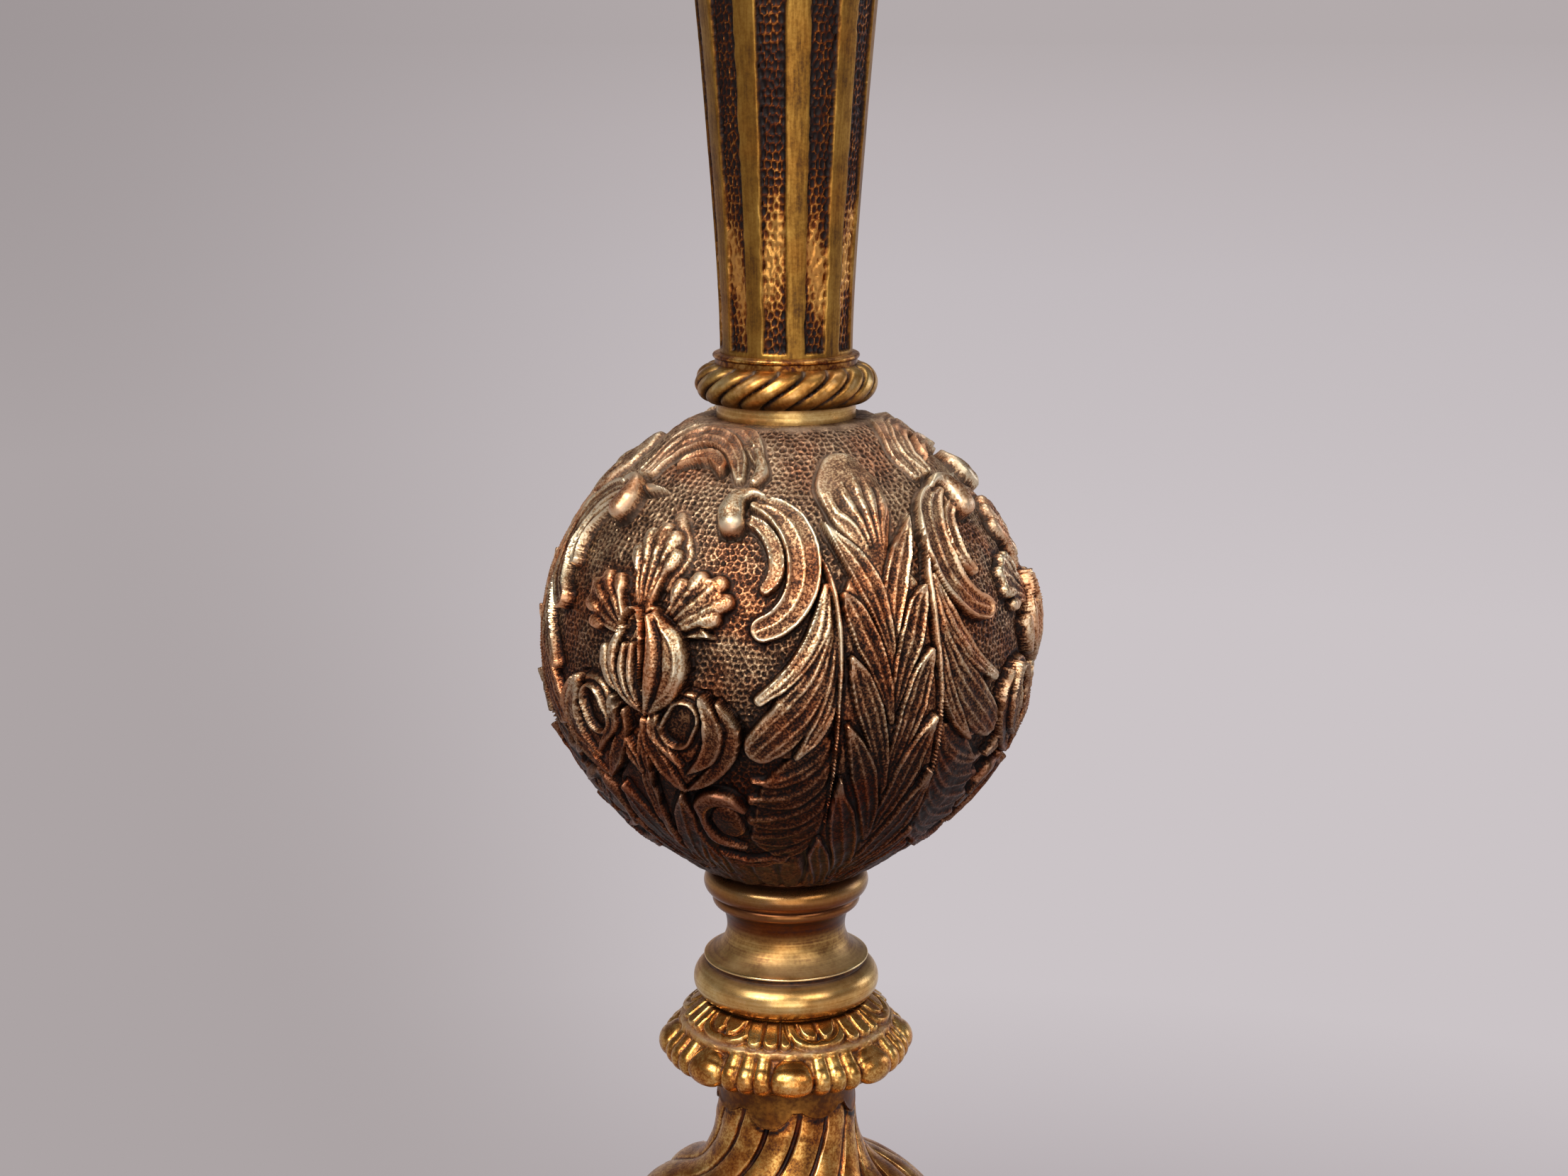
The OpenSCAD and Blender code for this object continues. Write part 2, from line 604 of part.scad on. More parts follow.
module fluted_shaft() {
    outer = shaft_outline();
    band = 360 / flutes * band_share;
    reach = 2 * shaft_max_r;
    middle = [for (p = outer) if (p[1] > 10 && p[1] < shaft_h - 8) p];
    color(brass) translate([0, 0, shaft_z]) difference() {
        union() {
            rotate_extrude() polygon(section(inset(outer, flute_depth), shaft_h));
            intersection() {
                rotate_extrude() polygon(concat([[register_r + 2, 0]], outer, [[register_r + 2, shaft_h]]));
                ring_about(flutes, band_start) linear_extrude(shaft_h)
                    polygon([[0, 0], [reach, -reach * tan(band / 2)], [reach, reach * tan(band / 2)]]);
            }
        }
        rotate_extrude()
            polygon(concat([[0, 10]], inset(middle, cast_wall + flute_depth), [[0, shaft_h - 10]]));
    }
}

// ---- Capital and candle fittings ----

module capital() {
    outer = concat(
        [[29, 0]],
        arc(29, 4, 4, -90, 80, 6),
        [[27, 9.4]],
        curve([27, 9.4], [20, 22], [22, 40], [36, 54], 10),
        curve([36, 54], [42, 60], [46, 62], [46, 68], 6),
        [[48, 69], [48, 73], [44, 74], [44, capital_h]]);
    color(brass) translate([0, 0, capital_z]) rotate_extrude() polygon(concat(
        [[bore_r, register_h + register_play],
         [register_r + register_gap, register_h + register_play],
         [register_r + register_gap, 0]],
        outer,
        [[18, capital_h], [18, capital_h - washer_h - 8.5], [bore_r, capital_h - washer_h - 8.5]]));
}

module lock_washer() color(steel) translate([0, 0, capital_z + capital_h - washer_h - 8.5]) difference() {
    cylinder(r = 15, h = washer_h);
    translate([0, 0, -1]) cylinder(r = bore_r, h = washer_h + 2);
}

module lock_nut() color(steel) hex_nut(capital_z + capital_h - 8.5, 8);

module candle_cup() {
    outer = concat(
        [[cup_r, 0]],
        [[cup_r, 2]],
        arc(cup_r, 4.6, 1.4, -90, 90, 5),
        [[cup_r - 0.6, 9], [cup_r - 0.6, cup_h - 8]],
        arc(cup_r - 0.4, cup_h - 4, 1.6, -90, 90, 5),
        [[cup_r, cup_h - 1], [cup_r - 0.8, cup_h]]);
    color(bright_brass) translate([0, 0, cup_z]) rotate_extrude() polygon(concat(
        [[0, 11], [rod_r + 0.1, 11], [rod_r + 0.1, 0]],
        outer,
        [[candle_r, cup_h], [candle_r, cup_floor], [0, cup_floor]]));
}

// Loose dish round the candle cup, which catches wax.
module drip_pan() {
    rest_gap = 0.05;
    outer = concat(
        [[pan_bore_r, 0], [40, 0]],
        curve([40, 0], [62, 0], [80, 2], [pan_r - 4, 9], 8),
        arc(pan_r - 2.4, 11.6, 2.4, -60, 150, 8));
    inner = concat(
        curve([pan_r - 6, 11.6], [78, 5.5], [62, 3.5], [44, 3.5], 8),
        [[pan_bore_r + 5, 3.5]],
        arc(pan_bore_r + 3, 8, 2, 0, 180, 6),
        [[pan_bore_r, 7]]);
    color(brass) translate([0, 0, cup_z + rest_gap]) rotate_extrude() polygon(concat(outer, inner));
}

module tie_rod() color(steel) translate([0, 0, rod_z]) cylinder(r = rod_r, h = cup_z + 10.5 - rod_z);

bun_foot(30);  // foot_1
bun_foot(150);  // foot_2
bun_foot(270);  // foot_3
foot_studs();
ballast_plate();
bottom_washer();
bottom_nut();
plinth();
base_border();
base_dome();
base_ring();
base_spool();
base_rope_ring();
bulb_cup();
spiral_bulb();
lappet_collar();
gadroon_disc();
spool();
ball();
ball_collar();
rope_ring();
shaft_ring();
fluted_shaft();
upper_rope_ring();
capital();
lock_washer();
lock_nut();
candle_cup();
drip_pan();
tie_rod();
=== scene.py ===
"""Torchere candle stand: cast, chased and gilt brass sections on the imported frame.

Lengths in the classes are in millimetres and angles in degrees. An angle round the stem
is 0 in front (towards -Y) and grows to the right (towards +X). Meshes are in metres.
"""
import logging
import math
from dataclasses import dataclass, replace
from enum import Enum

import bmesh
import bpy
import numpy as np
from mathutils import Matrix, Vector


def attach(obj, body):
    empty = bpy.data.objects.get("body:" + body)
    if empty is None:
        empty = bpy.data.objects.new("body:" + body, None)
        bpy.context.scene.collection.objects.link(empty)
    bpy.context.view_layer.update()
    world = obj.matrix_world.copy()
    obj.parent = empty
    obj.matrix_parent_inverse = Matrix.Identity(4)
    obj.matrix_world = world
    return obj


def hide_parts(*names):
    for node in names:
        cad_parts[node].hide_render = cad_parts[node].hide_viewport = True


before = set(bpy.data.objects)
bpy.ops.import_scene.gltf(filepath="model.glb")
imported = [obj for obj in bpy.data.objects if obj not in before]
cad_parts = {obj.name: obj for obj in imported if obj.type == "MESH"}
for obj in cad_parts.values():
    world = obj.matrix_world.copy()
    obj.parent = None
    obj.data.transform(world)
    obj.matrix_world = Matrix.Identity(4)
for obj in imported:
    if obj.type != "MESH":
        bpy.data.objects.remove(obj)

logging.basicConfig(level=logging.INFO, format="%(message)s")
log = logging.getLogger("candle_stand")

MM = 0.001

# Radius of the bore round the rod, and the register by which sections are centred on each other.
BORE = 6.6
REGISTER = 11.0
REGISTER_HEIGHT = 3.0
RECESS_DEPTH = 3.3
PLAY = 0.15

# Wear of surfaces inside, and the angles from which edges of chased and of turned work stay crisp.
HIDDEN_WEAR = 0.3
CHASED_CRISP = 70.0
TURNED_CRISP = 38.0

Point = tuple[float, float]
Point3 = tuple[float, float, float]
Colour = tuple[int, int, int]
Grid = np.ndarray
Socket = bpy.types.NodeSocket
Piece = bpy.types.Object


# ---- outlines


def arc(r: float, z: float, radius: float, start: float, end: float, count: int = 14) -> list[Point]:
    """Gives points along an arc.

    Args:
        r: Distance of the arc's centre from the axis.
        z: Height of the arc's centre.
        radius: Radius of the arc.
        start: First angle.
        end: Last angle.
        count: Number of steps.

    Returns:
        The points, from start to end.
    """
    angles = np.radians(np.linspace(start, end, count + 1))
    return [(r + radius * math.cos(a), z + radius * math.sin(a)) for a in angles]


def curve(a: Point, b: Point, c: Point, d: Point, count: int = 30) -> list[Point]:
    """Gives points along a cubic curve from a to d, drawn towards b and c.

    Args:
        a: First point.
        b: First handle.
        c: Second handle.
        d: Last point.
        count: Number of steps.

    Returns:
        The points, from a to d.
    """
    t = np.linspace(0, 1, count + 1)[:, None]
    u = 1 - t
    p = u**3 * np.array(a) + 3 * u * u * t * np.array(b) + 3 * u * t * t * np.array(c) + t**3 * np.array(d)
    return [(float(x), float(y)) for x, y in p]


def unit(x: Grid) -> Grid:
    """Keeps values between 0 and 1."""
    return np.clip(x, 0, 1)


def smooth(x: Grid) -> Grid:
    """Rises smoothly from 0 to 1 as x does."""
    x = unit(x)
    return x * x * (3 - 2 * x)


def blurred(values: Grid, rows: float, columns: float) -> Grid:
    """Softens a grid, which closes on itself along its columns.

    Args:
        values: The grid.
        rows: Spread down the grid, in rows.
        columns: Spread round the grid, in columns.

    Returns:
        The softened grid.
    """
    count, across = values.shape
    folded = np.vstack([values, values[::-1]])
    fr = np.fft.fftfreq(folded.shape[0])[:, None]
    fc = np.fft.rfftfreq(across)[None, :]
    gauss = np.exp(-2 * (math.pi**2) * ((fr * rows) ** 2 + (fc * columns) ** 2))
    return np.fft.irfft2(np.fft.rfft2(folded) * gauss, s=folded.shape)[:count]


class Outline:
    """Outline of a turned section, sampled evenly from its foot to its head."""

    def __init__(self, points: list[Point], step: float) -> None:
        """Samples the outline.

        Args:
            points: Radius and height of each corner, drawn upwards on the outside.
            step: Distance between samples.
        """
        corners = np.array(points, float)
        parts = []
        for a, b in zip(corners[:-1], corners[1:]):
            length = float(np.hypot(*(b - a)))
            if length < 1e-6:
                continue
            count = max(1, round(length / step))
            parts.append(a + (b - a) * (np.arange(count) / count)[:, None])
        parts.append(corners[-1:])
        samples = np.vstack(parts)
        self.r, self.z = samples[:, 0], samples[:, 1]
        gaps = np.hypot(np.diff(self.r), np.diff(self.z))
        self.s = np.concatenate([[0.0], np.cumsum(gaps)])
        along_r, along_z = np.gradient(self.r, self.s), np.gradient(self.z, self.s)
        size = np.maximum(np.hypot(along_r, along_z), 1e-9)
        self.out_r, self.out_z = along_z / size, -along_r / size

    @property
    def length(self) -> float:
        """Length of the outline."""
        return float(self.s[-1])

    def at(self, z: float) -> float:
        """Finds a height's distance along the outline."""
        return float(np.interp(z, self.z, self.s))

    def raised(self, lift: Grid, base: float = 0.0) -> tuple[Grid, Grid]:
        """Moves the samples outwards.

        Args:
            lift: How far each one moves, one row per sample.
            base: Height of the outline's foot.

        Returns:
            The radii and the heights.
        """
        return (self.r[:, None] + self.out_r[:, None] * lift,
                self.z[:, None] + self.out_z[:, None] * lift + base)

    def relief(self) -> Grid:
        """Tells convex corners from hollow ones.

        Returns:
            For each sample, how far it stands proud of its neighbours.
        """
        reach = 2.5
        result = np.zeros_like(self.s)
        for i, s in enumerate(self.s):
            near = np.abs(self.s - s) < reach
            result[i] = ((self.r[i] - self.r[near].mean()) * self.out_r[i]
                         + (self.z[i] - self.z[near].mean()) * self.out_z[i])
        result[self.s < reach] = 0.05
        result[self.s > self.length - reach] = 0.05
        return result


# ---- chased relief


class Form(Enum):
    """How a raised lobe is modelled."""

    LEAF = "leaf"
    DOME = "dome"
    RIDGE = "ridge"
    FOLD = "fold"
    BOSS = "boss"


@dataclass(frozen=True)
class Lobe:
    """One stroke of ornament: a lobe that follows a spine over the turned surface.

    A spine point is an angle round the stem and a place up the surface.
    """

    spine: tuple[Point, ...]
    half: tuple[float, ...]
    level: tuple[float, ...] = (2.4,)
    form: Form = Form.LEAF
    ribs: int = 0
    hollow: float = 1.0
    rim: float = 0.9
    edge: float = 0.75
    groove: float = 0.55
    rib_lift: float = 0.55

    def mirrored(self, centre: float) -> "Lobe":
        """Gives the same lobe on the other side of an angle."""
        return replace(self, spine=tuple((2 * centre - a, v) for a, v in self.spine))


def through(points: Grid, count: int) -> Grid:
    """Draws a smooth line through points.

    Args:
        points: The points, one row each.
        count: Number of samples wanted.

    Returns:
        Samples from the first point to the last.
    """
    n = len(points)
    if n == 2:
        return points[0] + (points[1] - points[0]) * np.linspace(0, 1, count)[:, None]
    padded = np.vstack([2 * points[0] - points[1], points, 2 * points[-1] - points[-2]])
    t = np.linspace(0, n - 1 - 1e-9, count)
    i = t.astype(int)
    f = (t - i)[:, None]
    a, b, c, d = padded[i], padded[i + 1], padded[i + 2], padded[i + 3]
    return 0.5 * (2 * b + (c - a) * f + (2 * a - 5 * b + 4 * c - d) * f * f
                  + (3 * b - a - 3 * c + d) * f**3)


class Relief:
    """Heights over a turned surface, which repeat round the stem.

    The measures are in millimetres.
    """

    sample = 0.8
    margin = 2.2
    rib_wide = 0.55
    groove_wide = 1.1
    fine_reach = 0.9
    broad_reach = 2.8

    def __init__(self, outline: Outline, period: float, columns: int) -> None:
        """Starts a plain surface.

        Args:
            outline: The turned outline that carries the ornament.
            period: Angle after which the ornament repeats.
            columns: Number of samples in one repeat.
        """
        self.outline = outline
        self.period = period
        self.turn = np.arange(columns) * period / columns
        shape = (len(outline.s), columns)
        self.lift = np.zeros(shape)
        self.cover = np.zeros(shape)
        self.pits = np.zeros(shape)

    def wrapped(self, angle: Grid) -> Grid:
        """Brings an angle to within half a repeat of 0."""
        return (angle + self.period / 2) % self.period - self.period / 2

    def stamp(self, lobe: Lobe) -> None:
        """Lays a lobe over what is there.

        Args:
            lobe: The lobe, with places up the surface given as distance along the outline.
        """
        points = np.array(lobe.spine, float)
        radius = np.interp(points[:, 1], self.outline.s, self.outline.r)
        size = np.hypot(np.diff(points[:, 0]) * math.pi / 180 * (radius[1:] + radius[:-1]) / 2,
                        np.diff(points[:, 1])).sum()
        count = int(np.clip(size / self.sample, 8, 90))
        path = through(points, count)
        t = np.linspace(0, 1, count)
        half = np.interp(t, np.linspace(0, 1, len(lobe.half)), lobe.half)
        level = np.interp(t, np.linspace(0, 1, len(lobe.level)), lobe.level)
        reach = half.max() + self.margin
        s = self.outline.s
        rows = np.flatnonzero((s > path[:, 1].min() - reach) & (s < path[:, 1].max() + reach))
        if not len(rows):
            return
        r = self.outline.r[rows]
        span = math.degrees(reach / max(r.min(), 3.0))
        middle = (path[:, 0].min() + path[:, 0].max()) / 2
        extent = (path[:, 0].max() - path[:, 0].min()) / 2 + span
        offset = self.wrapped(self.turn - middle)
        columns = np.flatnonzero(np.abs(offset) <= extent)
        r_path = np.interp(path[:, 1], s, self.outline.r)
        across = ((middle + offset[columns])[None, :, None] - path[None, None, :, 0])
        dx = across * (math.pi / 360) * (r[:, None, None] + r_path[None, None, :])
        dy = np.broadcast_to(s[rows][:, None, None] - path[None, None, :, 1], dx.shape)
        inside = half - np.hypot(dx, dy)
        best = inside.argmax(axis=2)
        pick = best[:, :, None]
        inside = np.take_along_axis(inside, pick, 2)[:, :, 0]
        dx = np.take_along_axis(dx, pick, 2)[:, :, 0]
        dy = np.take_along_axis(dy, pick, 2)[:, :, 0]
        tangent = np.gradient(np.column_stack([path[:, 0] * math.pi / 180 * r_path, path[:, 1]]), axis=0)
        tangent /= np.maximum(np.hypot(tangent[:, 0], tangent[:, 1]), 1e-9)[:, None]
        width = half[best]
        lateral = tangent[best, 0] * dy - tangent[best, 1] * dx
        body = level[best]
        u = unit(1 - inside / np.maximum(width, 1e-3))
        block = np.ix_(rows, columns)
        ground = self.lift[block]
        if lobe.form is Form.FOLD:
            height = ground + body * unit(1 - u * u)
        elif lobe.form is Form.BOSS:
            height = np.maximum(ground, body * np.sqrt(unit(1 - u * u)))
        elif lobe.form is Form.DOME:
            height = body * (0.25 + 0.75 * np.sqrt(unit(1 - u * u)))
        elif lobe.form is Form.RIDGE:
            height = body * unit(1 - u**2)
        else:
            bank = np.exp(-(np.clip(inside - lobe.rim, 0, None) / (0.55 * lobe.rim)) ** 2)
            depth = lobe.hollow * unit((width - 0.6) / 2.4)
            height = body - depth * (1 - bank)
            for k in range(lobe.ribs):
                place = -1 + 2 * (k + 1) / (lobe.ribs + 1)
                gap = (lateral - place * width) / self.rib_wide
                height += lobe.rib_lift * np.exp(-gap * gap) * (1 - bank) * unit(width / 1.6)
        mask = smooth(inside / lobe.edge)
        outside = smooth(1 + inside / self.groove_wide) * (1 - mask)
        under = ground - lobe.groove * outside
        self.lift[block] = under * (1 - mask) + height * mask
        self.cover[block] = np.maximum(self.cover[block], np.maximum(mask, outside * 0.9))

    def punch(self, pitch: float, depth: float, seed: int, low: float = -1e9, high: float = 1e9,
              stretch: float = 1.0) -> None:
        """Punches rows of small dimples into the bare ground.

        Args:
            pitch: Distance between dimples.
            depth: Depth of a dimple.
            seed: Start of the uneven spacing.
            low: Lowest place, along the outline, that is punched.
            high: Highest place that is punched.
            stretch: Height of a dimple over its width.
        """
        rng = np.random.default_rng(seed)
        row_gap = pitch * 0.87 * stretch
        s = self.outline.s
        count = int(self.outline.length / row_gap) + 3
        nearest = np.full(self.lift.shape, 9.0)
        second = np.full(self.lift.shape, 9.0)
        base = np.floor(s / row_gap).astype(int)
        cells = {}
        for j in range(-1, count + 1):
            r = float(np.interp(j * row_gap, s, self.outline.r))
            n = max(3, round(r * math.radians(self.period) / pitch))
            turn = (np.arange(n) + 0.5 * (j % 2) + rng.uniform(-0.32, 0.32, n)) * self.period / n
            cells[j] = (n, turn, j * row_gap + rng.uniform(-0.32, 0.32, n) * row_gap)
        for shift in (-1, 0, 1, 2):
            for j in np.unique(base + shift):
                if j not in cells:
                    continue
                rows = np.flatnonzero(base + shift == j)
                n, turn, place = cells[j]
                start = np.floor(self.turn / self.period * n - 0.5 * (j % 2)).astype(int)
                for k in (-1, 0, 1, 2):
                    i = (start + k) % n
                    dx = self.wrapped(self.turn - turn[i])[None, :] * (math.pi / 180)
                    dx = dx * self.outline.r[rows][:, None]
                    dy = (s[rows][:, None] - place[i][None, :]) / stretch
                    gap = np.hypot(dx, dy)
                    second[rows] = np.minimum(second[rows], np.maximum(gap, nearest[rows]))
                    nearest[rows] = np.minimum(nearest[rows], gap)
        pit = smooth((second - nearest) / pitch / 0.38) * (1 - 0.4 * smooth((nearest / pitch - 0.3) / 0.3))
        zone = smooth((s - low) / 2) * smooth((high - s) / 2)
        pit = pit * zone[:, None] * (1 - unit(self.cover * 1.4))
        self.lift -= depth * pit
        self.pits = np.maximum(self.pits, pit)

    def wear(self, fine: float = 0.3, broad: float = 1.2, level: float = 0.44) -> Grid:
        """Tells worn ridges from dark hollows.

        Args:
            fine: Height that counts as a full small ridge.
            broad: Height that counts as a full broad swelling.
            level: Wear of plain ground.

        Returns:
            0 in hollows, the level on plain ground and 1 on ridges.
        """
        step_s = float(np.median(np.diff(self.outline.s)))
        step_x = float(np.median(self.outline.r)) * math.radians(self.turn[1])
        near, far = (self.lift - blurred(self.lift, reach / step_s, reach / step_x)
                     for reach in (self.fine_reach, self.broad_reach))
        return unit(level + 0.38 * np.tanh(near / fine) + 0.2 * np.tanh(far / broad))


# ---- meshes


def placed(name: str, data: bpy.types.ID) -> Piece:
    """Puts a mesh, lamp or camera in the scene.

    Args:
        name: Name of the object.
        data: Its mesh, lamp or camera.

    Returns:
        The object.
    """
    thing = bpy.data.objects.new(name, data)
    bpy.context.scene.collection.objects.link(thing)
    return thing


def finished(name: str, mesh: bpy.types.Mesh, material: bpy.types.Material, sharp: float) -> Piece:
    """Puts a mesh in the scene as a finished object.

    Args:
        name: Name of the piece.
        mesh: Its mesh, in place.
        material: Its finish.
        sharp: Angle from which an edge stays crisp.

    Returns:
        The object.
    """
    mesh.shade_smooth()
    mesh.set_sharp_from_angle(angle=math.radians(sharp))
    mesh.materials.append(material)
    return placed(name, mesh)


@dataclass
class Skin:
    """A grid wrapped round the stem: displaced outline rows, closed by plain rows inside."""

    r: Grid
    z: Grid
    turn: Grid
    closing: list[Point]
    marks: dict[str, Grid]
    full: bool = True

    def build(self, name: str, node: str, slot: str, finish: "AgedMetal", sharp: float = CHASED_CRISP,
              body: str = "stand") -> Piece:
        """Wraps the grid and ties the piece to the frame.

        Args:
            name: Name of the piece.
            node: CAD node that it stands for.
            slot: Material slot of the record that its finish belongs to.
            finish: Its finish.
            sharp: Angle from which an edge stays crisp.
            body: Body that it moves with.

        Returns:
            The finished piece.
        """
        columns = self.r.shape[1]
        inner_r, inner_z = (np.array([[p[k]] * columns for p in self.closing]) for k in (0, 1))
        r = np.vstack([self.r, inner_r, self.r[:1]])
        z = np.vstack([self.z, inner_z, self.z[:1]])
        turn = self.turn
        if self.full:
            r, z = np.hstack([r, r[:, :1]]), np.hstack([z, z[:, :1]])
            turn = np.append(turn, turn[0] + 360)
        bm = bmesh.new()
        bmesh.ops.create_grid(bm, x_segments=r.shape[1] - 1, y_segments=r.shape[0] - 1, size=1.0)
        mesh = bpy.data.meshes.new(name)
        bm.to_mesh(mesh)
        bm.free()
        flat = np.empty(len(mesh.vertices) * 3)
        mesh.vertices.foreach_get("co", flat)
        flat = flat.reshape(-1, 3)
        span = flat.max(axis=0) - flat.min(axis=0)
        column = np.rint((flat[:, 0] - flat[:, 0].min()) / span[0] * (r.shape[1] - 1)).astype(int)
        row = np.rint((flat[:, 1] - flat[:, 1].min()) / span[1] * (r.shape[0] - 1)).astype(int)
        angle = np.radians(turn[column])
        out = r[row, column]
        place = np.column_stack([out * np.sin(angle), -out * np.cos(angle), z[row, column]]) * MM
        mesh.vertices.foreach_set("co", place.ravel())
        for key, values in self.marks.items():
            plain = np.full((len(self.closing), columns), HIDDEN_WEAR if key == "wear" else 0.0)
            values = np.vstack([values, plain, values[:1]])
            if self.full:
                values = np.hstack([values, values[:, :1]])
            layer = mesh.attributes.new(key, "FLOAT", "POINT")
            layer.data.foreach_set("value", values[row, column].astype(np.float32))
        bm = bmesh.new()
        bm.from_mesh(mesh)
        bmesh.ops.remove_doubles(bm, verts=bm.verts[:], dist=2e-6)
        if not self.full:
            rims = [e for e in bm.edges if e.is_boundary]
            bmesh.ops.holes_fill(bm, edges=rims, sides=0)
            ends = [f for f in bm.faces if len(f.verts) > 4]
            for end in ends:
                for edge in end.edges:
                    edge.smooth = False
            bmesh.ops.triangulate(bm, faces=ends)
        bmesh.ops.recalc_face_normals(bm, faces=bm.faces[:])
        bm.to_mesh(mesh)
        bm.free()
        piece = finished(name, mesh, finish.material(), sharp)
        join(piece, slot, body, node)
        return piece


def marked(wear: Grid, dust: Grid | float = 0.0, shade: Grid | float = 0.0,
           tone: Grid | float = 0.0) -> dict[str, Grid]:
    """Gathers the marks that the finishes read.

    Args:
        wear: 0 in hollows to 1 on worn ridges, for each place of a grid.
        dust: Share of dust.
        shade: Share of painted shade.
        tone: Share of the finish's ground colours.

    Returns:
        A full grid for each mark.
    """
    grid = np.ones_like(wear)
    return {"wear": wear, "dust": dust * grid, "shade": shade * grid, "tone": tone * grid}


def plain_marks(outline: Outline, columns: int) -> dict[str, Grid]:
    """Gives the wear, the dust and the painted shade on downward faces of a turned outline with no ornament.

    Args:
        outline: The outline.
        columns: Number of columns wanted.

    Returns:
        A grid for each mark.
    """
    relief = outline.relief()
    wear = unit(0.5 + 0.4 * np.tanh(relief / 0.5))
    dust = unit(outline.out_z - 0.25) * unit(0.6 - relief * 1.5)
    shade = unit(-outline.out_z) ** 1.5
    return marked(wear[:, None] * np.ones((1, columns)), dust[:, None], shade[:, None])


def repeated(count: int, *grids: Grid) -> list[Grid]:
    """Repeats grids round the stem.

    Args:
        count: Number of repeats.
        *grids: The grids of one repeat.

    Returns:
        The angle of each column, then the full grids.
    """
    full = [np.tile(grid, (1, count)) for grid in grids]
    columns = full[0].shape[1]
    return [np.arange(columns) * 360 / columns] + full


def spun(name: str, outline: Outline, marks: dict[str, Grid], steps: int, base: float = 0.0,
         inner: tuple[Point, ...] = (), place: Point = (0.0, 0.0)) -> bpy.types.Mesh:
    """Spins an outline round an upright axis.

    Args:
        name: Name of the mesh.
        outline: The outline.
        marks: Its marks, in one column.
        steps: Number of columns.
        base: Height of the outline's foot.
        inner: Points that close it inside. Without them it meets the axis.
        place: Where the axis stands.

    Returns:
        The mesh.
    """
    bm = bmesh.new()
    layers = {key: bm.verts.layers.float.new(key) for key in marks}
    line = []
    for i in range(len(outline.s)):
        vertex = bm.verts.new((outline.r[i] * MM, 0, (base + outline.z[i]) * MM))
        for key, layer in layers.items():
            vertex[layer] = float(marks[key][i, 0])
        line.append(vertex)
    for r, z in inner:
        vertex = bm.verts.new((r * MM, 0, (base + z) * MM))
        vertex[layers["wear"]] = HIDDEN_WEAR
        line.append(vertex)
    following = line[1:] + (line[:1] if inner else [])
    edges = [bm.edges.new(pair) for pair in zip(line, following)]
    bmesh.ops.spin(bm, geom=line + edges, cent=(0, 0, 0), axis=(0, 0, 1), dvec=(0, 0, 0),
                   angle=2 * math.pi, steps=steps, use_merge=True, use_duplicate=False)
    bmesh.ops.remove_doubles(bm, verts=bm.verts[:], dist=1e-6)
    bmesh.ops.recalc_face_normals(bm, faces=bm.faces[:])
    if any(place):
        bmesh.ops.translate(bm, verts=bm.verts[:], vec=(place[0] * MM, place[1] * MM, 0))
    mesh = bpy.data.meshes.new(name)
    bm.to_mesh(mesh)
    bm.free()
    return mesh


@dataclass
class Turned:
    """A plain section turned on the lathe."""

    name: str
    node: str
    base: float
    outer: list[Point]
    inner: list[Point]
    finish: "AgedMetal"
    slot: str = "brass"
    steps: int = 144
    step: float = 0.8
    # Heights and shares of painted shade, taken where larger than the painted shade on downward faces.
    dark: tuple[Point, ...] = ((0, 0), (1, 0))

    def build(self) -> Piece:
        """Spins the outline round the axis.

        Returns:
            The finished section.
        """
        outline = Outline(self.outer, self.step)
        marks = plain_marks(outline, 1)
        heights, shares = zip(*self.dark)
        marks["shade"] = np.maximum(marks["shade"], np.interp(outline.z, heights, shares)[:, None])
        mesh = spun(self.name, outline, marks, self.steps, self.base, tuple(self.inner))
        piece = finished(self.name, mesh, self.finish.material(), TURNED_CRISP)
        join(piece, self.slot, "stand", self.node)
        return piece


def join(piece: Piece, slot: str, body: str, *nodes: str) -> None:
    """Ties a piece to the frame.

    Args:
        piece: The piece.
        slot: Not used.
        body: Body that it moves with.
        *nodes: CAD nodes that it stands for.
    """
    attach(piece, body)
    if nodes:
        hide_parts(*nodes)
    log.info("%s: %d faces", piece.name, len(piece.data.polygons))


def register(top: float) -> list[Point]:
    """Draws the register on a section's head, up to its bore."""
    return [(REGISTER, top), (REGISTER, top + REGISTER_HEIGHT), (BORE, top + REGISTER_HEIGHT)]


def recess(foot: float) -> list[Point]:
    """Draws the recess in a section's foot, down from its bore."""
    wide = REGISTER + PLAY
    return [(BORE, foot + RECESS_DEPTH), (wide, foot + RECESS_DEPTH), (wide, foot)]


def bored(base: float, height: float) -> list[Point]:
    """Closes a section inside: its register on top, then down the bore."""
    return register(base + height) + recess(base)


# ---- finishes


def linear(colour: Colour) -> tuple[float, float, float, float]:
    """Turns a screen colour into Blender's.

    Args:
        colour: Red, green and blue, 0 to 255.

    Returns:
        The linear colour, with its alpha.
    """
    values = [c / 255 for c in colour]
    values = [v / 12.92 if v <= 0.04045 else ((v + 0.055) / 1.055) ** 2.4 for v in values]
    return (values[0], values[1], values[2], 1.0)


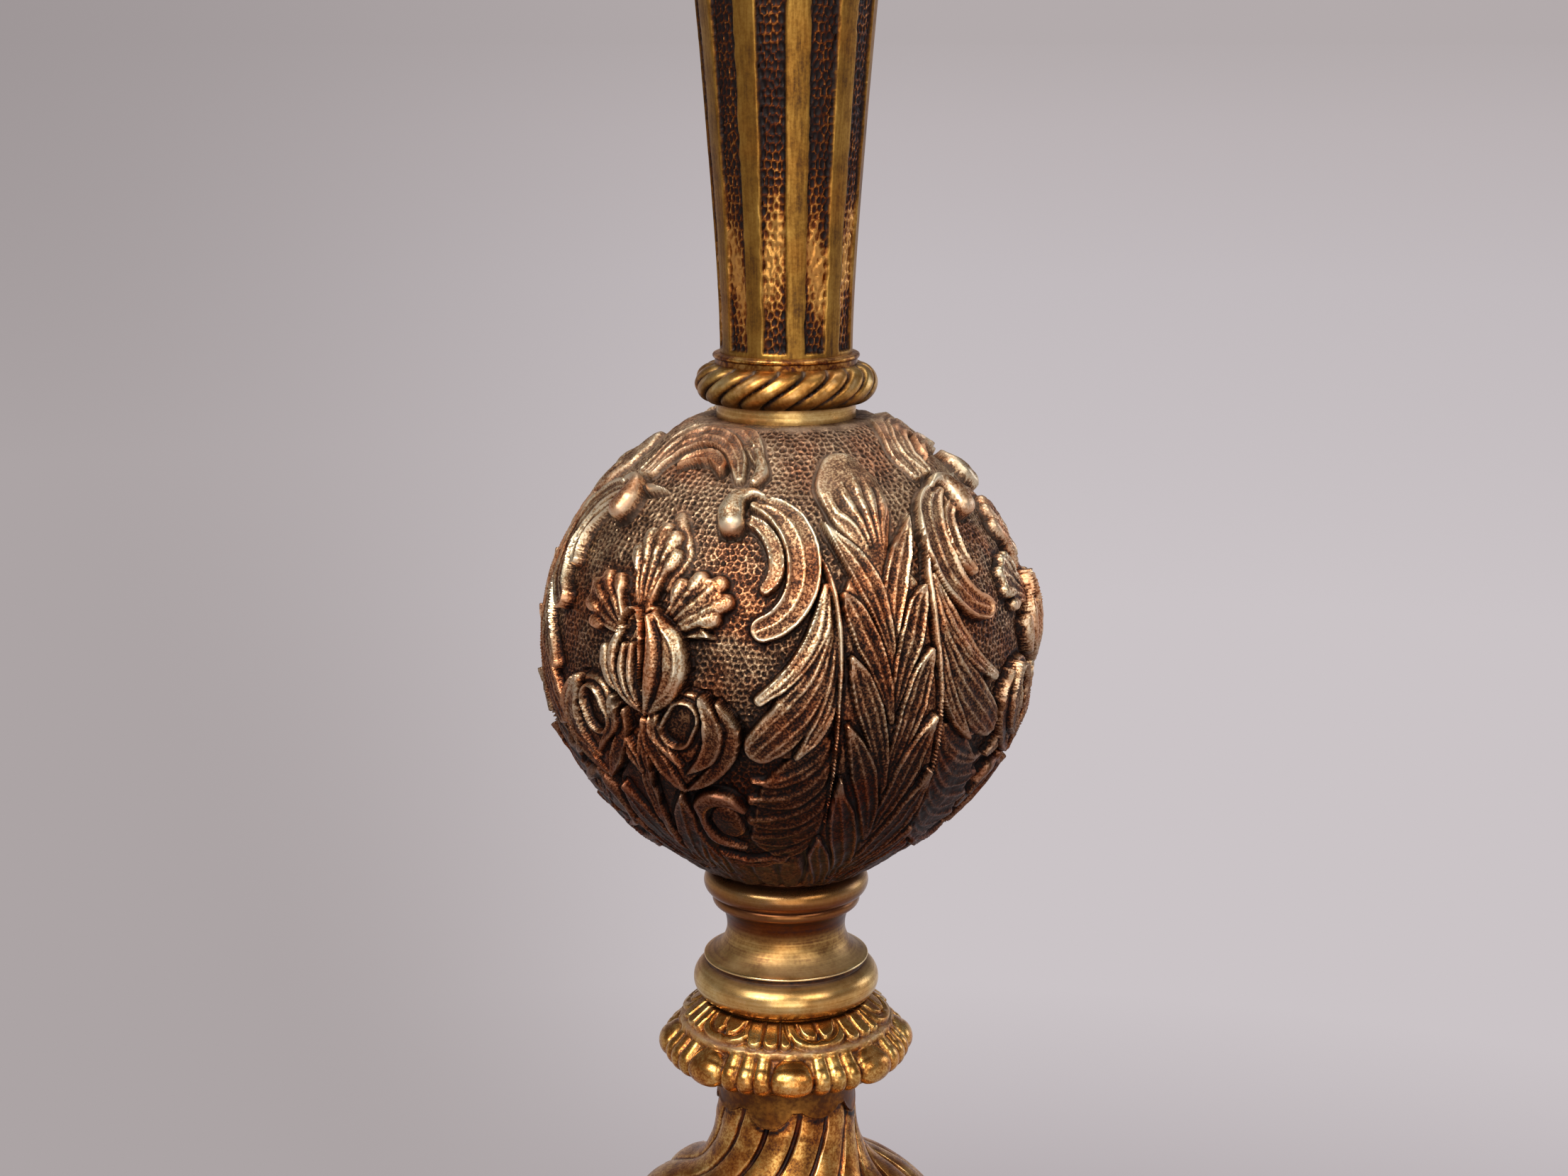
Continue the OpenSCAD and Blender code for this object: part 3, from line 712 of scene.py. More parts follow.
class Nodes:
    """Small helper that lays down and links shader nodes."""

    def __init__(self, name: str, tree: bpy.types.NodeTree | None = None) -> None:
        """Starts a material with one shader, or goes on with a tree that is there.

        Args:
            name: Name of the material.
            tree: The tree, when there is one.
        """
        if tree:
            self.tree = tree
            return
        self.material = bpy.data.materials.new(name)
        self.material.use_nodes = True
        self.tree = self.material.node_tree
        self.tree.nodes.clear()
        self.shader = self.add("BsdfPrincipled")
        out = self.add("OutputMaterial")
        self.link(self.shader.outputs[0], out.inputs[0])
        self.place = self.add("TexCoord").outputs["Object"]

    def add(self, kind: str) -> bpy.types.ShaderNode:
        """Adds a node of a kind, named without its ShaderNode prefix."""
        return self.tree.nodes.new("ShaderNode" + kind)

    def link(self, output: Socket, target: Socket) -> None:
        """Links two sockets."""
        self.tree.links.new(output, target)

    def noise(self, size: float, detail: float = 3.0, stretch: Point3 = (1.0, 1.0, 1.0),
              rough: float = 0.55) -> Socket:
        """Adds a noise of a given size.

        Args:
            size: Size of its patches in millimetres.
            detail: Number of finer layers.
            stretch: Scale along each axis.
            rough: Strength of the finer layers.

        Returns:
            The socket that gives its value.
        """
        mapping = self.add("Mapping")
        mapping.inputs["Scale"].default_value = stretch
        self.link(self.place, mapping.inputs["Vector"])
        node = self.add("TexNoise")
        node.inputs["Scale"].default_value = 1000.0 / size
        node.inputs["Detail"].default_value = detail
        node.inputs["Roughness"].default_value = rough
        self.link(mapping.outputs[0], node.inputs["Vector"])
        return node.outputs[0]

    def mark(self, name: str) -> Socket:
        """Reads a mark of the mesh.

        Args:
            name: Name of the mark.

        Returns:
            The socket that gives its value.
        """
        node = self.add("Attribute")
        node.attribute_name = name
        return node.outputs["Fac"]

    def math(self, kind: str, a: object, b: object, c: object = None,
             clamp: bool = False) -> Socket:
        """Adds a sum, product or the like.

        Args:
            kind: Blender's name of the operation.
            a: First value or socket.
            b: Second value or socket.
            c: Third value or socket, for a multiply and add.
            clamp: Whether the result stays between 0 and 1.

        Returns:
            The result's socket.
        """
        node = self.add("Math")
        node.operation = kind
        node.use_clamp = clamp
        for socket, value in zip(node.inputs, (a, b, c)):
            if value is None:
                continue
            if isinstance(value, (int, float)):
                socket.default_value = value
            else:
                self.link(value, socket)
        return node.outputs[0]

    def spread(self, value: Socket, low: float, high: float, a: float,
               b: float) -> Socket:
        """Maps a range of values to another.

        Args:
            value: The value.
            low: Value that becomes a.
            high: Value that becomes b.
            a: First result.
            b: Last result.

        Returns:
            The result's socket.
        """
        node = self.add("MapRange")
        node.interpolation_type = "SMOOTHSTEP"
        for name, number in (("From Min", low), ("From Max", high), ("To Min", a), ("To Max", b)):
            node.inputs[name].default_value = number
        self.link(value, node.inputs["Value"])
        return node.outputs[0]

    def ramp(self, value: Socket, stops: list[tuple[float, Colour]]) -> Socket:
        """Colours a value.

        Args:
            value: The value.
            stops: Places and colours.

        Returns:
            The colour's socket.
        """
        node = self.add("ValToRGB")
        elements = node.color_ramp.elements
        while len(elements) < len(stops):
            elements.new(0.5)
        for element, (place, colour) in zip(elements, stops):
            element.position = place
            element.color = linear(colour)
        self.link(value, node.inputs[0])
        return node.outputs[0]

    def mix(self, factor: object, a: object, b: object, kind: str = "MIX") -> Socket:
        """Mixes two colours.

        Args:
            factor: Share of the second colour.
            a: First colour or socket.
            b: Second colour or socket.
            kind: Blender's name of the blend.

        Returns:
            The colour's socket.
        """
        node = self.add("Mix")
        node.data_type = "RGBA"
        node.blend_type = kind
        for socket, value in ((node.inputs[0], factor), (node.inputs[6], a), (node.inputs[7], b)):
            if isinstance(value, (int, float)):
                socket.default_value = value
            elif isinstance(value, tuple):
                socket.default_value = linear(value)
            else:
                self.link(value, socket)
        return node.outputs[2]

    def bump(self, height: Socket, distance: float,
             before: Socket | None = None) -> Socket:
        """Roughens the surface.

        Args:
            height: The height, 0 to 1.
            distance: What a height of 1 stands for, in millimetres.
            before: A bump that this one is added to.

        Returns:
            The normal's socket.
        """
        node = self.add("Bump")
        node.inputs["Strength"].default_value = 1.0
        node.inputs["Distance"].default_value = distance * MM
        self.link(height, node.inputs["Height"])
        if before is not None:
            self.link(before, node.inputs["Normal"])
        return node.outputs[0]


@dataclass(frozen=True)
class AgedMetal:
    """Gilt or patinated brass: dark hollows, a mottled body and worn bright ridges, with painted shade where the shade
    mark darkens it toward its shade colour.
    """

    name: str
    stops: tuple[tuple[float, Colour], ...]
    ground: tuple[tuple[float, Colour], ...] = ((0.1, (22, 12, 7)), (0.5, (120, 78, 40)), (0.9, (200, 150, 84)))
    dust: Colour = (146, 120, 98)
    # Colour toward which the painted shade darkens the finish.
    shade_colour: Colour = (52, 26, 13)
    rough: tuple[float, float] = (0.46, 0.25)
    metal: tuple[float, float] = (0.6, 0.97)
    mottle: float = 12.0
    mottle_share: float = 0.2
    grain: float = 1.1
    grain_share: float = 0.12
    grain_depth: float = 0.03
    lines: Point3 | None = None
    line_share: float = 0.2
    tint: Colour = (255, 196, 150)
    tint_share: float = 0.5

    def material(self) -> bpy.types.Material:
        """Gives the finish's material, made once.

        Returns:
            The material.
        """
        ready = bpy.data.materials.get(self.name)
        if ready:
            return ready
        n = Nodes(self.name)
        mottle = n.noise(self.mottle, 5.0, rough=0.62)
        patch = n.noise(self.mottle * 2.6, 3.0)
        grain = n.noise(self.grain, 3.0, rough=0.6)
        cloudy = n.spread(mottle, 0.34, 0.66, -0.5, 0.5)
        speckled = n.spread(grain, 0.36, 0.64, -0.5, 0.5)
        wear = n.math("MULTIPLY_ADD", cloudy, self.mottle_share, n.mark("wear"))
        if self.lines:
            lines = n.noise(0.9, 4.0, self.lines)
            wear = n.math("MULTIPLY_ADD", n.spread(lines, 0.34, 0.66, -0.5, 0.5), self.line_share, wear)
        wear = n.math("MULTIPLY_ADD", speckled, self.grain_share, wear, clamp=True)
        colour = n.ramp(wear, list(self.stops))
        other = n.ramp(wear, list(self.ground))
        colour = n.mix(n.mark("tone"), colour, other)
        warm = n.mix(1.0, colour, self.tint, "MULTIPLY")
        colour = n.mix(n.spread(patch, 0.42, 0.64, 0.0, self.tint_share), colour, warm)
        # Painted shade: the shade mark, broken up a little by the mottle, darkens the colour toward the shade colour.
        shade = n.spread(n.math("MULTIPLY_ADD", cloudy, 0.16, n.mark("shade")), 0.0, 1.0, 0.0, 0.92)
        colour = n.mix(shade, colour, n.mix(1.0, colour, self.shade_colour, "MULTIPLY"))
        dust_share = n.math("MULTIPLY", n.mark("dust"), n.spread(mottle, 0.34, 0.62, 0.5, 1.0), clamp=True)
        colour = n.mix(dust_share, colour, self.dust)
        n.link(colour, n.shader.inputs["Base Color"])
        roughness = n.spread(wear, 0.25, 0.8, self.rough[0], self.rough[1])
        roughness = n.math("MULTIPLY_ADD", dust_share, 0.25, roughness)
        roughness = n.math("MULTIPLY_ADD", cloudy, 0.1, roughness, clamp=True)
        n.link(roughness, n.shader.inputs["Roughness"])
        metallic = n.spread(wear, 0.1, 0.5, self.metal[0], self.metal[1])
        metallic = n.math("MULTIPLY", metallic, n.math("SUBTRACT", 1.0, n.math("MULTIPLY", dust_share, 0.8)))
        n.link(metallic, n.shader.inputs["Metallic"])
        normal = n.bump(grain, self.grain_depth)
        if self.lines:
            normal = n.bump(lines, self.grain_depth * 0.8, normal)
        normal = n.bump(mottle, self.grain_depth * 3, normal)
        n.link(normal, n.shader.inputs["Normal"])
        return n.material


@dataclass(frozen=True)
class DullSteel:
    """Steel or iron of the hidden rod, plate and nuts."""

    name: str
    light: Colour
    dark: Colour
    rough: float = 0.42
    metal: float = 1.0

    def material(self) -> bpy.types.Material:
        """Gives the finish's material, made once.

        Returns:
            The material.
        """
        ready = bpy.data.materials.get(self.name)
        if ready:
            return ready
        n = Nodes(self.name)
        rust = n.noise(9.0, 5.0, rough=0.65)
        lines = n.noise(0.7, 2.0, (0.05, 0.05, 1.0))
        colour = n.ramp(rust, [(0.36, self.dark), (0.56, self.light)])
        n.link(n.mix(n.spread(lines, 0.4, 0.7, 0.0, 0.25), colour, (214, 214, 212)), n.shader.inputs["Base Color"])
        n.link(n.spread(rust, 0.3, 0.7, self.rough + 0.2, self.rough), n.shader.inputs["Roughness"])
        n.shader.inputs["Metallic"].default_value = self.metal
        n.link(n.bump(rust, 0.05, n.bump(lines, 0.02)), n.shader.inputs["Normal"])
        return n.material


POLISHED = AgedMetal(
    "gilt_brass",
    ((0.06, (22, 12, 5)), (0.26, (80, 50, 20)), (0.46, (146, 108, 52)), (0.66, (196, 156, 88)), (0.9, (236, 208, 146))),
    grain=1.6, grain_share=0.12, grain_depth=0.022, mottle=9.0, mottle_share=0.24, rough=(0.48, 0.33))

TURNED_BRASS = AgedMetal(
    "turned_brass",
    ((0.06, (44, 23, 9)), (0.26, (134, 94, 48)), (0.46, (194, 156, 92)), (0.7, (230, 196, 128)),
     (1.0, (250, 228, 176))),
    grain=1.2, grain_share=0.1, grain_depth=0.012, mottle=16.0, mottle_share=0.24, rough=(0.36, 0.22),
    lines=(0.02, 0.02, 1.0), line_share=0.2, tint=(255, 196, 130), tint_share=0.5, shade_colour=(112, 52, 18))

SPECKLED = AgedMetal(
    "speckled_brass",
    ((0.06, (34, 13, 7)), (0.3, (80, 38, 15)), (0.48, (148, 100, 44)), (0.7, (210, 166, 90)), (1.0, (246, 216, 146))),
    grain=1.9, grain_share=0.28, grain_depth=0.03, mottle=10.0, mottle_share=0.34, rough=(0.4, 0.2), shade_colour=(96, 44, 16))

RICH_GILT = AgedMetal(
    "rich_gilt",
    ((0.06, (32, 13, 6)), (0.26, (96, 52, 21)), (0.46, (172, 116, 54)), (0.66, (224, 176, 100)),
     (0.92, (250, 222, 158))),
    ((0.1, (34, 14, 10)), (0.5, (104, 54, 30)), (0.9, (196, 128, 78))),
    grain=0.9, grain_share=0.2, grain_depth=0.03, mottle=7.0, mottle_share=0.28, rough=(0.38, 0.2),
    tint=(255, 200, 150))

PATINA = AgedMetal(
    "patinated_brass",
    ((0.05, (24, 12, 7)), (0.24, (74, 44, 29)), (0.4, (124, 88, 62)), (0.54, (168, 129, 93)), (0.7, (210, 180, 139)),
     (0.88, (240, 224, 192))),
    ((0.05, (26, 15, 9)), (0.26, (70, 47, 33)), (0.44, (114, 84, 62)), (0.62, (168, 138, 106)), (0.9, (216, 192, 156))),
    dust=(160, 134, 112), shade_colour=(102, 42, 8), grain=0.8, grain_share=0.42, grain_depth=0.06, mottle=8.0,
    mottle_share=0.24, rough=(0.54, 0.34), metal=(0.8, 0.98), tint=(255, 166, 98), tint_share=0.6)

SHAFT_BRASS = AgedMetal(
    "shaft_brass",
    ((0.06, (38, 20, 8)), (0.28, (84, 54, 20)), (0.46, (140, 100, 42)), (0.66, (176, 134, 62)),
     (0.95, (214, 174, 100))),
    ((0.05, (20, 9, 7)), (0.24, (42, 18, 11)), (0.42, (88, 44, 22)), (0.58, (150, 92, 42)), (0.8, (216, 160, 84))),
    grain=1.0, grain_share=0.08, grain_depth=0.016, mottle=12.0, mottle_share=0.2, rough=(0.48, 0.3), tint_share=0.3,
    lines=(1.0, 1.0, 0.04), line_share=0.14)

DARK_COLLAR = AgedMetal(
    "dark_collar",
    ((0.06, (24, 11, 4)), (0.3, (96, 56, 20)), (0.5, (164, 112, 50)), (0.76, (206, 156, 80)), (1.0, (236, 196, 120))),
    ((0.1, (22, 12, 7)), (0.5, (84, 46, 22)), (0.9, (170, 118, 60))),
    grain=1.6, grain_share=0.08, grain_depth=0.012, mottle=12.0, mottle_share=0.2, rough=(0.4, 0.3),
    tint=(255, 190, 120), shade_colour=(150, 66, 20))


# ---- the ball


@dataclass
class CarvedBall:
    """Hollow ball, chased with leaves, scrolls and flowers on a punched ground."""

    centre: float = 720.0
    radius: float = 84.9
    cap_radius: float = 87.3
    wall: float = 3.0
    low: float = 636.0
    high: float = 802.0
    repeat: float = 120.0
    leaf_axis: float = 24.0
    flower_axis: float = -36.0
    columns: int = 360
    step: float = 0.5
    sectors: int = 6
    rear: tuple[int, int] = (2, 3)
    pitch: float = 2.45

    def ground(self) -> Outline:
        """Draws the plain ground of the ball.

        Returns:
            Its outline, fuller towards the two collars.
        """
        start = math.degrees(math.asin((self.low - self.centre) / self.cap_radius))
        end = math.degrees(math.asin((self.high - self.centre) / self.cap_radius))
        place = np.linspace(start, end, 240)
        full = smooth((place - 54) / 12) + smooth((-place - 58) / 12)
        size = self.radius + (self.cap_radius - self.radius) * full
        points = [(r * math.cos(math.radians(a)), self.centre + r * math.sin(math.radians(a)))
                  for a, r in zip(place, size)]
        return Outline(points, self.step)

    def latitude(self, outline: Outline) -> Grid:
        """Works out the latitude of each sample, in degrees."""
        return np.degrees(np.arctan2(outline.z - self.centre, outline.r))

    def on_outline(self, lobe: Lobe, outline: Outline) -> Lobe:
        """Moves a lobe's places from degrees of latitude to distance along the outline.

        Args:
            lobe: The lobe, drawn in degrees.
            outline: The ball's outline.

        Returns:
            The lobe as Relief wants it.
        """
        latitude = self.latitude(outline)
        spine = tuple((a, float(np.interp(v, latitude, outline.s))) for a, v in lobe.spine)
        return replace(lobe, spine=spine)

    def top_scroll(self) -> list[Lobe]:
        """Draws the C-scroll over the flowers."""
        return [
            Lobe(((-65, 51), (-64, 58), (-56, 64), (-42, 67.5), (-28, 67), (-17, 63), (-11.5, 58)),
                 (3.0, 4.2, 4.6, 4.6, 4.4, 3.8, 2.6), (1.6, 2.0, 2.4, 2.4), ribs=1, hollow=0.6, rim=0.7),
            Lobe(((-13, 60.4), (-10.2, 57), (-9.4, 54), (-11.2, 51)), (1.4, 2.2, 2.7, 2.2), (2.6, 3.2, 3.6), Form.DOME,
                 groove=0.7),
            Lobe(((-58, 51), (-57.5, 57), (-51, 61.6), (-40, 63.6), (-29, 62.2), (-21, 58), (-17.2, 52)),
                 (2.8, 4.2, 4.4, 4.2, 4.0, 3.6, 2.2), (2.2, 2.6, 2.8), ribs=1, hollow=0.8),
            Lobe(((-46.5, 53.4), (-43.5, 56), (-37, 57.8), (-31, 57.6), (-27.2, 55.8), (-25.8, 54)),
                 (0.7, 2.2, 2.9, 3.0, 2.8, 1.8), (2.6, 3.2, 3.6, 4.2), hollow=1.0, groove=1.2),
            Lobe(((-57, 46.6), (-50, 46.4), (-43, 46.7)), (0.8, 2.1, 0.6), (3.2,), Form.DOME, groove=1.2),
        ]

    def palmette(self) -> list[Lobe]:
        """Draws the leaf that crowns the leaf cluster.

        Returns:
            The strokes, in the order in which they are laid.
        """
        plate = Lobe(((24.8, 25), (24.4, 31), (23.6, 37), (22.8, 43), (22.2, 49), (22.2, 54.8)),
                     (2.0, 4.4, 7.8, 11.6, 12.4, 8.0), (2.0, 2.4, 2.6, 2.9, 3.0), Form.DOME, edge=1.4)
        tips = ((13.6, 47.4), (18.4, 50.6), (23.6, 52), (28.2, 50.6), (31.8, 47.4))
        ribs = [Lobe(((24.6 + (a - 24) * 0.08, 27), (24.4 + (a - 24) * 0.42, 37.6), (24 + (a - 24) * 0.84, v - 5),
                      (a, v)),
                     (0.6, 1.3, 1.9, 1.6), (0.7, 1.0, 1.2, 0.3), Form.FOLD, groove=0.0, edge=0.9) for a, v in tips]
        return [plate] + ribs

    def leaf_bed(self) -> list[Lobe]:
        """Draws the low bed that the leaf cluster and its side leaves lie on."""
        return [Lobe(((24, -66), (24, -40), (24, -8), (24, 18), (24, 31)), (10, 18.0, 19.4, 17.0, 5.4), (1.9,),
                     hollow=0.0, groove=0.3, edge=1.6)]

    def half_leaves(self) -> list[Lobe]:
        """Draws the left half of the leaf cluster."""
        return [
            Lobe(((24.4, 5), (23.4, 14), (20.8, 24), (17, 31.4), (10.0, 40.4)), (1.0, 2.8, 4.6, 4.2, 0.5),
                 (1.8, 2.8, 3.2, 3.4, 4.0), ribs=1),
            Lobe(((24.2, -6), (21.8, 4), (18.6, 12.6), (15.8, 19.4), (13.6, 23)), (1.2, 3.4, 4.8, 3.8, 1.4),
                 (1.8, 2.8, 3.4, 4.6), ribs=1),
            Lobe(((24.2, -24), (21.4, -12), (18.6, -2.4), (16.4, 4.4), (14.4, 9.2)), (1.4, 3.8, 5.0, 4.0, 1.4),
                 (1.8, 2.8, 3.4, 4.8), ribs=2),
            Lobe(((24, -40), (21.2, -28), (18.2, -18), (15.8, -11), (13.4, -5.6)), (1.4, 3.9, 4.9, 3.4, 1.2),
                 (1.8, 2.8, 3.4, 5.0), ribs=1, edge=1.0),
            Lobe(((23.4, -62), (20.4, -50), (16.8, -39), (14.4, -30), (12.9, -24), (12.6, -19)),
                 (2.6, 4.0, 5.2, 4.8, 2.6, 1.2), (1.8, 2.8, 3.4, 4.0, 5.4), ribs=1, edge=1.1),
            Lobe(((18, -66), (13.6, -55), (10.4, -46), (9.2, -38)), (2.6, 4.0, 4.2, 1.3), (1.6, 2.4, 3.0, 4.2), ribs=1,
                 edge=1.2),
        ]

    def side_leaf(self) -> list[Lobe]:
        """Draws the fan of broad lobes to the left of the leaf cluster.

        Returns:
            The strokes, in the order in which they are laid.
        """
        bed = [Lobe(((9.4, 23), (7.6, 12), (4, 2), (0, -8)), (2.6, 7, 9, 9), (3.0, 3.0, 2.8, 2.4), hollow=0.0,
                    groove=0.5, edge=1.8),
               Lobe(((7.6, -12), (2.4, -24), (-1, -38)), (6.4, 13, 11.5), (1.5,), hollow=0.0, groove=0.3, edge=1.8)]
        fingers = (
            (((9.6, -34), (6.4, -40.4), (1, -44), (-4, -44.6)), (1.4, 3.0, 3.4, 2.2)),
            (((10.4, -27), (7, -34), (1.4, -38), (-4, -38.8), (-9, -38.2)), (1.4, 3.4, 4.2, 4.0, 2.8)),
            (((10.6, -20), (7.6, -27), (2, -31.2), (-3.4, -32.2), (-8.8, -31.8)), (1.4, 3.4, 4.2, 4.0, 3.0)),
            (((10.6, -14), (7.6, -20.4), (2.6, -24.6), (-3, -25.8), (-8.6, -25.4)), (1.4, 3.2, 3.9, 3.7, 2.6)),
            (((10.4, -9), (7, -14.8), (2, -18.4), (-3, -20), (-8, -20)), (1.2, 2.6, 3.0, 2.7, 1.6)),
        )
        low = [Lobe(spine, half, (1.8, 2.2, 2.5, 2.6), edge=2.2, rim=1.4, hollow=0.7, groove=0.2)
               for spine, half in fingers]
        grain = [Lobe(spine, (0.5, 1.1, 1.1, 0.4), (0.6, 0.8, 0.6), Form.FOLD, groove=0.0, edge=0.8) for spine in (
            ((9.6, 22), (7.2, 14), (3.4, 8), (0.6, 4.6)), ((10.4, 20), (8.8, 12), (5.8, 5.4), (2.2, 0.4)))]
        return bed + low + [
            Lobe(((10.4, 14), (7.4, 5), (3.2, -1.6), (-1.6, -6.6), (-5.4, -10.2)), (2.4, 5.8, 7.4, 7.8, 6.8),
                 (2.8, 3.2, 3.4, 3.5, 3.8), ribs=3, edge=1.6, groove=0.3, hollow=0.6),
            Lobe(((9.6, 25), (7.4, 16), (3.6, 9.4), (-0.6, 4.6), (-5.8, 0.4)), (2.0, 3.6, 3.6, 3.2, 2.5),
                 (3.2, 3.4, 3.5, 3.9), ribs=1, groove=0.3, hollow=0.7, edge=1.1),
            Lobe(((11.8, 17), (11, 6), (9, -2), (6, -7.8), (2.2, -12.6)), (1.0, 2.4, 3.0, 2.9, 1.2),
                 (2.8, 3.4, 3.8, 4.4), ribs=1, hollow=0.9, groove=0.4),
        ] + grain + [
            Lobe(((8.8, 32), (10.9, 26), (11.9, 18), (12, 10), (11.6, 2), (11.2, -8), (10.8, -20), (10.2, -32)),
                 (0.8, 1.5, 1.7, 1.6, 1.4, 1.2, 1.0, 0.6), (3.8, 4.2, 4.3, 4.0, 3.6, 3.4, 3.0), Form.RIDGE, groove=0.5),
        ]

    def side_scroll(self) -> list[Lobe]:
        """Draws the S-scroll to the left of the palmette."""
        return [
            Lobe(((-9.6, 44.6), (-4, 43.6), (0.6, 40.6), (3.5, 36), (4.5, 30.6), (3.9, 25.4), (1.6, 20.8),
                  (-1.8, 17.4), (-5.2, 15.8)), (2.2, 4.4, 5.6, 6.0, 6.0, 5.8, 5.4, 5.0, 4.5),
                 (3.2, 3.6, 3.9, 4.0, 3.9, 3.9, 4.4), ribs=1, hollow=1.1, rim=1.15),
            Lobe(((-10.4, 40.4), (-6.4, 38.4), (-3.5, 34.8), (-2.4, 30.6), (-3.1, 26.8), (-4.9, 24.6)),
                 (2.2, 2.7, 3.0, 3.0, 2.8, 2.3), (3.2, 3.7, 3.8), hollow=1.0, rim=0.9),
            Lobe(((-7, 46.4), (-11.4, 47.2), (-15.2, 45.4), (-16.2, 42), (-15.6, 39.4)),
                 (1.6, 2.6, 3.8, 5.2, 5.0), (4.4, 5.2, 6.0, 6.8, 7.0), Form.DOME, groove=1.0, edge=1.2),
            Lobe(((-11.4, 44.8), (-11.6, 42.6), (-10.6, 40.8)), (0.6, 1.1, 0.8), (1.6,), hollow=0.0, groove=0.0),
        ]

    def calyx(self) -> list[Lobe]:
        """Draws the boss, the bottom lip and the plain forms down to the neck.

        Returns:
            The strokes, in the order in which they are laid.
        """
        plain = [Lobe(((a, -73), (a * 0.96 - 1.4, -60), (a * 0.92 - 2, -49)), (3.2, 5.4, 4.4), (1.2, 1.8, 1.4),
                      Form.DOME,
                      groove=0.2, edge=2.2) for a in (-32, -20, -8, 4)]
        return plain + [
            Lobe(((-26.4, -28), (-30.4, -33), (-30.6, -39), (-27, -44.6), (-20, -48), (-12, -49.4), (-4, -48),
                  (2, -44.4)),
                 (0.9, 1.9, 2.5, 3.0, 3.4, 3.6, 3.0, 1.4), (3.4, 3.6, 3.6), ribs=1, hollow=1.0, edge=1.5),
            Lobe(((-16.6, -31), (-15.4, -35)), (6.4, 6.0), (2.6, 2.2), Form.DOME, edge=1.8),
            Lobe(((-10.4, -27.6), (-14.4, -24.8), (-19.4, -25.2), (-22.8, -29.4), (-23, -35), (-19.4, -40),
                  (-12.4, -42.4)),
                 (1.6, 3.4, 4.0, 3.6, 3.0, 2.4, 1.2), (4.8, 5.2, 4.6, 4.0, 3.4), Form.DOME, edge=1.5),
        ]

    def bud(self) -> list[Lobe]:
        """Draws the big bud in the middle of the flowers."""
        return [
            Lobe(((-43.8, 8.4), (-43.6, 5.4), (-42, 1.4), (-38, -1.4)), (2.2, 2.9, 2.2, 0.8), (5.4, 5.6, 4.8, 4.0),
                 Form.DOME),
            Lobe(((-33, 13), (-32.2, 7.4), (-32.6, 2), (-33, -4.4)), (10.4, 13.8, 10.4, 2.0), (5.2,), Form.DOME,
                 edge=2.0),
            Lobe(((-33, -5), (-37.4, -1), (-40.2, 4), (-40.4, 9), (-38.8, 13.4)), (0.8, 2.0, 2.4, 2.4, 1.5),
                 (4.4, 6.0, 6.8, 6.8), Form.DOME),
            Lobe(((-33, -4.8), (-36.2, 0), (-37.7, 5), (-37.2, 10)), (0.7, 1.7, 2.1, 1.4), (5.0, 6.8, 7.4), Form.DOME),
            Lobe(((-32.9, -4.6), (-34.6, 1), (-35, 6), (-34.6, 10.4)), (0.6, 1.5, 1.9, 1.4), (5.2, 7.4, 8.0),
                 Form.DOME),
            Lobe(((-32.4, -5), (-28.2, 0.4), (-26.4, 6), (-27.2, 11.4), (-31, 17)), (1.2, 5.6, 7.4, 6.6, 2.2),
                 (4.6, 6.2, 7.2, 7.2, 6.2), Form.DOME, edge=1.4),
            Lobe(((-32.4, -4.8), (-30.6, 0.6), (-29.6, 6), (-29.8, 11.4), (-31.8, 16.6)), (0.8, 2.8, 3.9, 3.4, 1.6),
                 (5.2, 7.2, 8.5, 8.4, 7.0), Form.DOME, edge=1.2, groove=0.8),
            Lobe(((-31, -3), (-26.2, 1), (-23.9, 6.2), (-25, 11.4), (-29.6, 15.8)), (0.5, 1.0, 1.2, 1.1, 0.5), (0.8,),
                 Form.FOLD, groove=0.0, edge=0.8),
            Lobe(((-32.6, -3), (-32.3, 4), (-32.3, 10), (-33.2, 14.6), (-35.2, 17.8)), (0.5, 1.0, 1.3, 1.3, 1.2),
                 (5.6, 7.8, 8.6, 8.6, 7.8), Form.RIDGE, groove=0.6),
            Lobe(((-39, 12.6), (-38.8, 15.4), (-37, 17.8), (-34.6, 17.6)), (0.9, 1.1, 1.3, 1.0), (6.8, 7.6, 8.0),
                 Form.RIDGE,
                 groove=0.2),
            Lobe(((-36.8, 12.6), (-36, 15)), (2.1, 2.3), (2.4,), hollow=0.8, groove=0.0, edge=0.6),
        ]

    def fan(self, base: Point, ends: tuple[Point, ...], spread: float, knob: float, high: float) -> list[Lobe]:
        """Draws a fluted petal, whose end is curled into knobs.

        Args:
            base: Where the petal starts.
            ends: Where each knob sits.
            spread: Half the width of the petal near its end.
            knob: Radius of a knob.
            high: Height of a knob.

        Returns:
            The petal, its ridges and its knobs.
        """
        tip = (sum(a for a, _ in ends) / len(ends), sum(v for _, v in ends) / len(ends))

        def toward(end: Point, share: float) -> Point:
            """Finds a place between the base and an end."""
            return base[0] + (end[0] - base[0]) * share, base[1] + (end[1] - base[1]) * share

        plate = Lobe((base, toward(tip, 0.35), toward(tip, 0.7), toward(tip, 0.94)),
                     (1.6, spread * 0.68, spread, spread), (2.6, 2.9, high - 0.9, high - 0.5), hollow=0.0, groove=0.7,
                     edge=1.6)
        knobs = [Lobe((toward(end, 0.72), toward(end, 0.9), end), (knob * 0.5, knob * 1.3, knob * 1.3),
                      (high - 0.4, high, high - 0.3), Form.BOSS, groove=0.2, edge=1.4) for end in ends]
        folds = [Lobe((toward(end, 0.1), toward(end, 0.5), toward(end, 0.84)), (0.8, 1.3, 1.7), (0.7, 0.8, 0.2),
                      Form.FOLD, groove=0.0, edge=0.9) for end in ends]
        return [plate] + knobs + folds

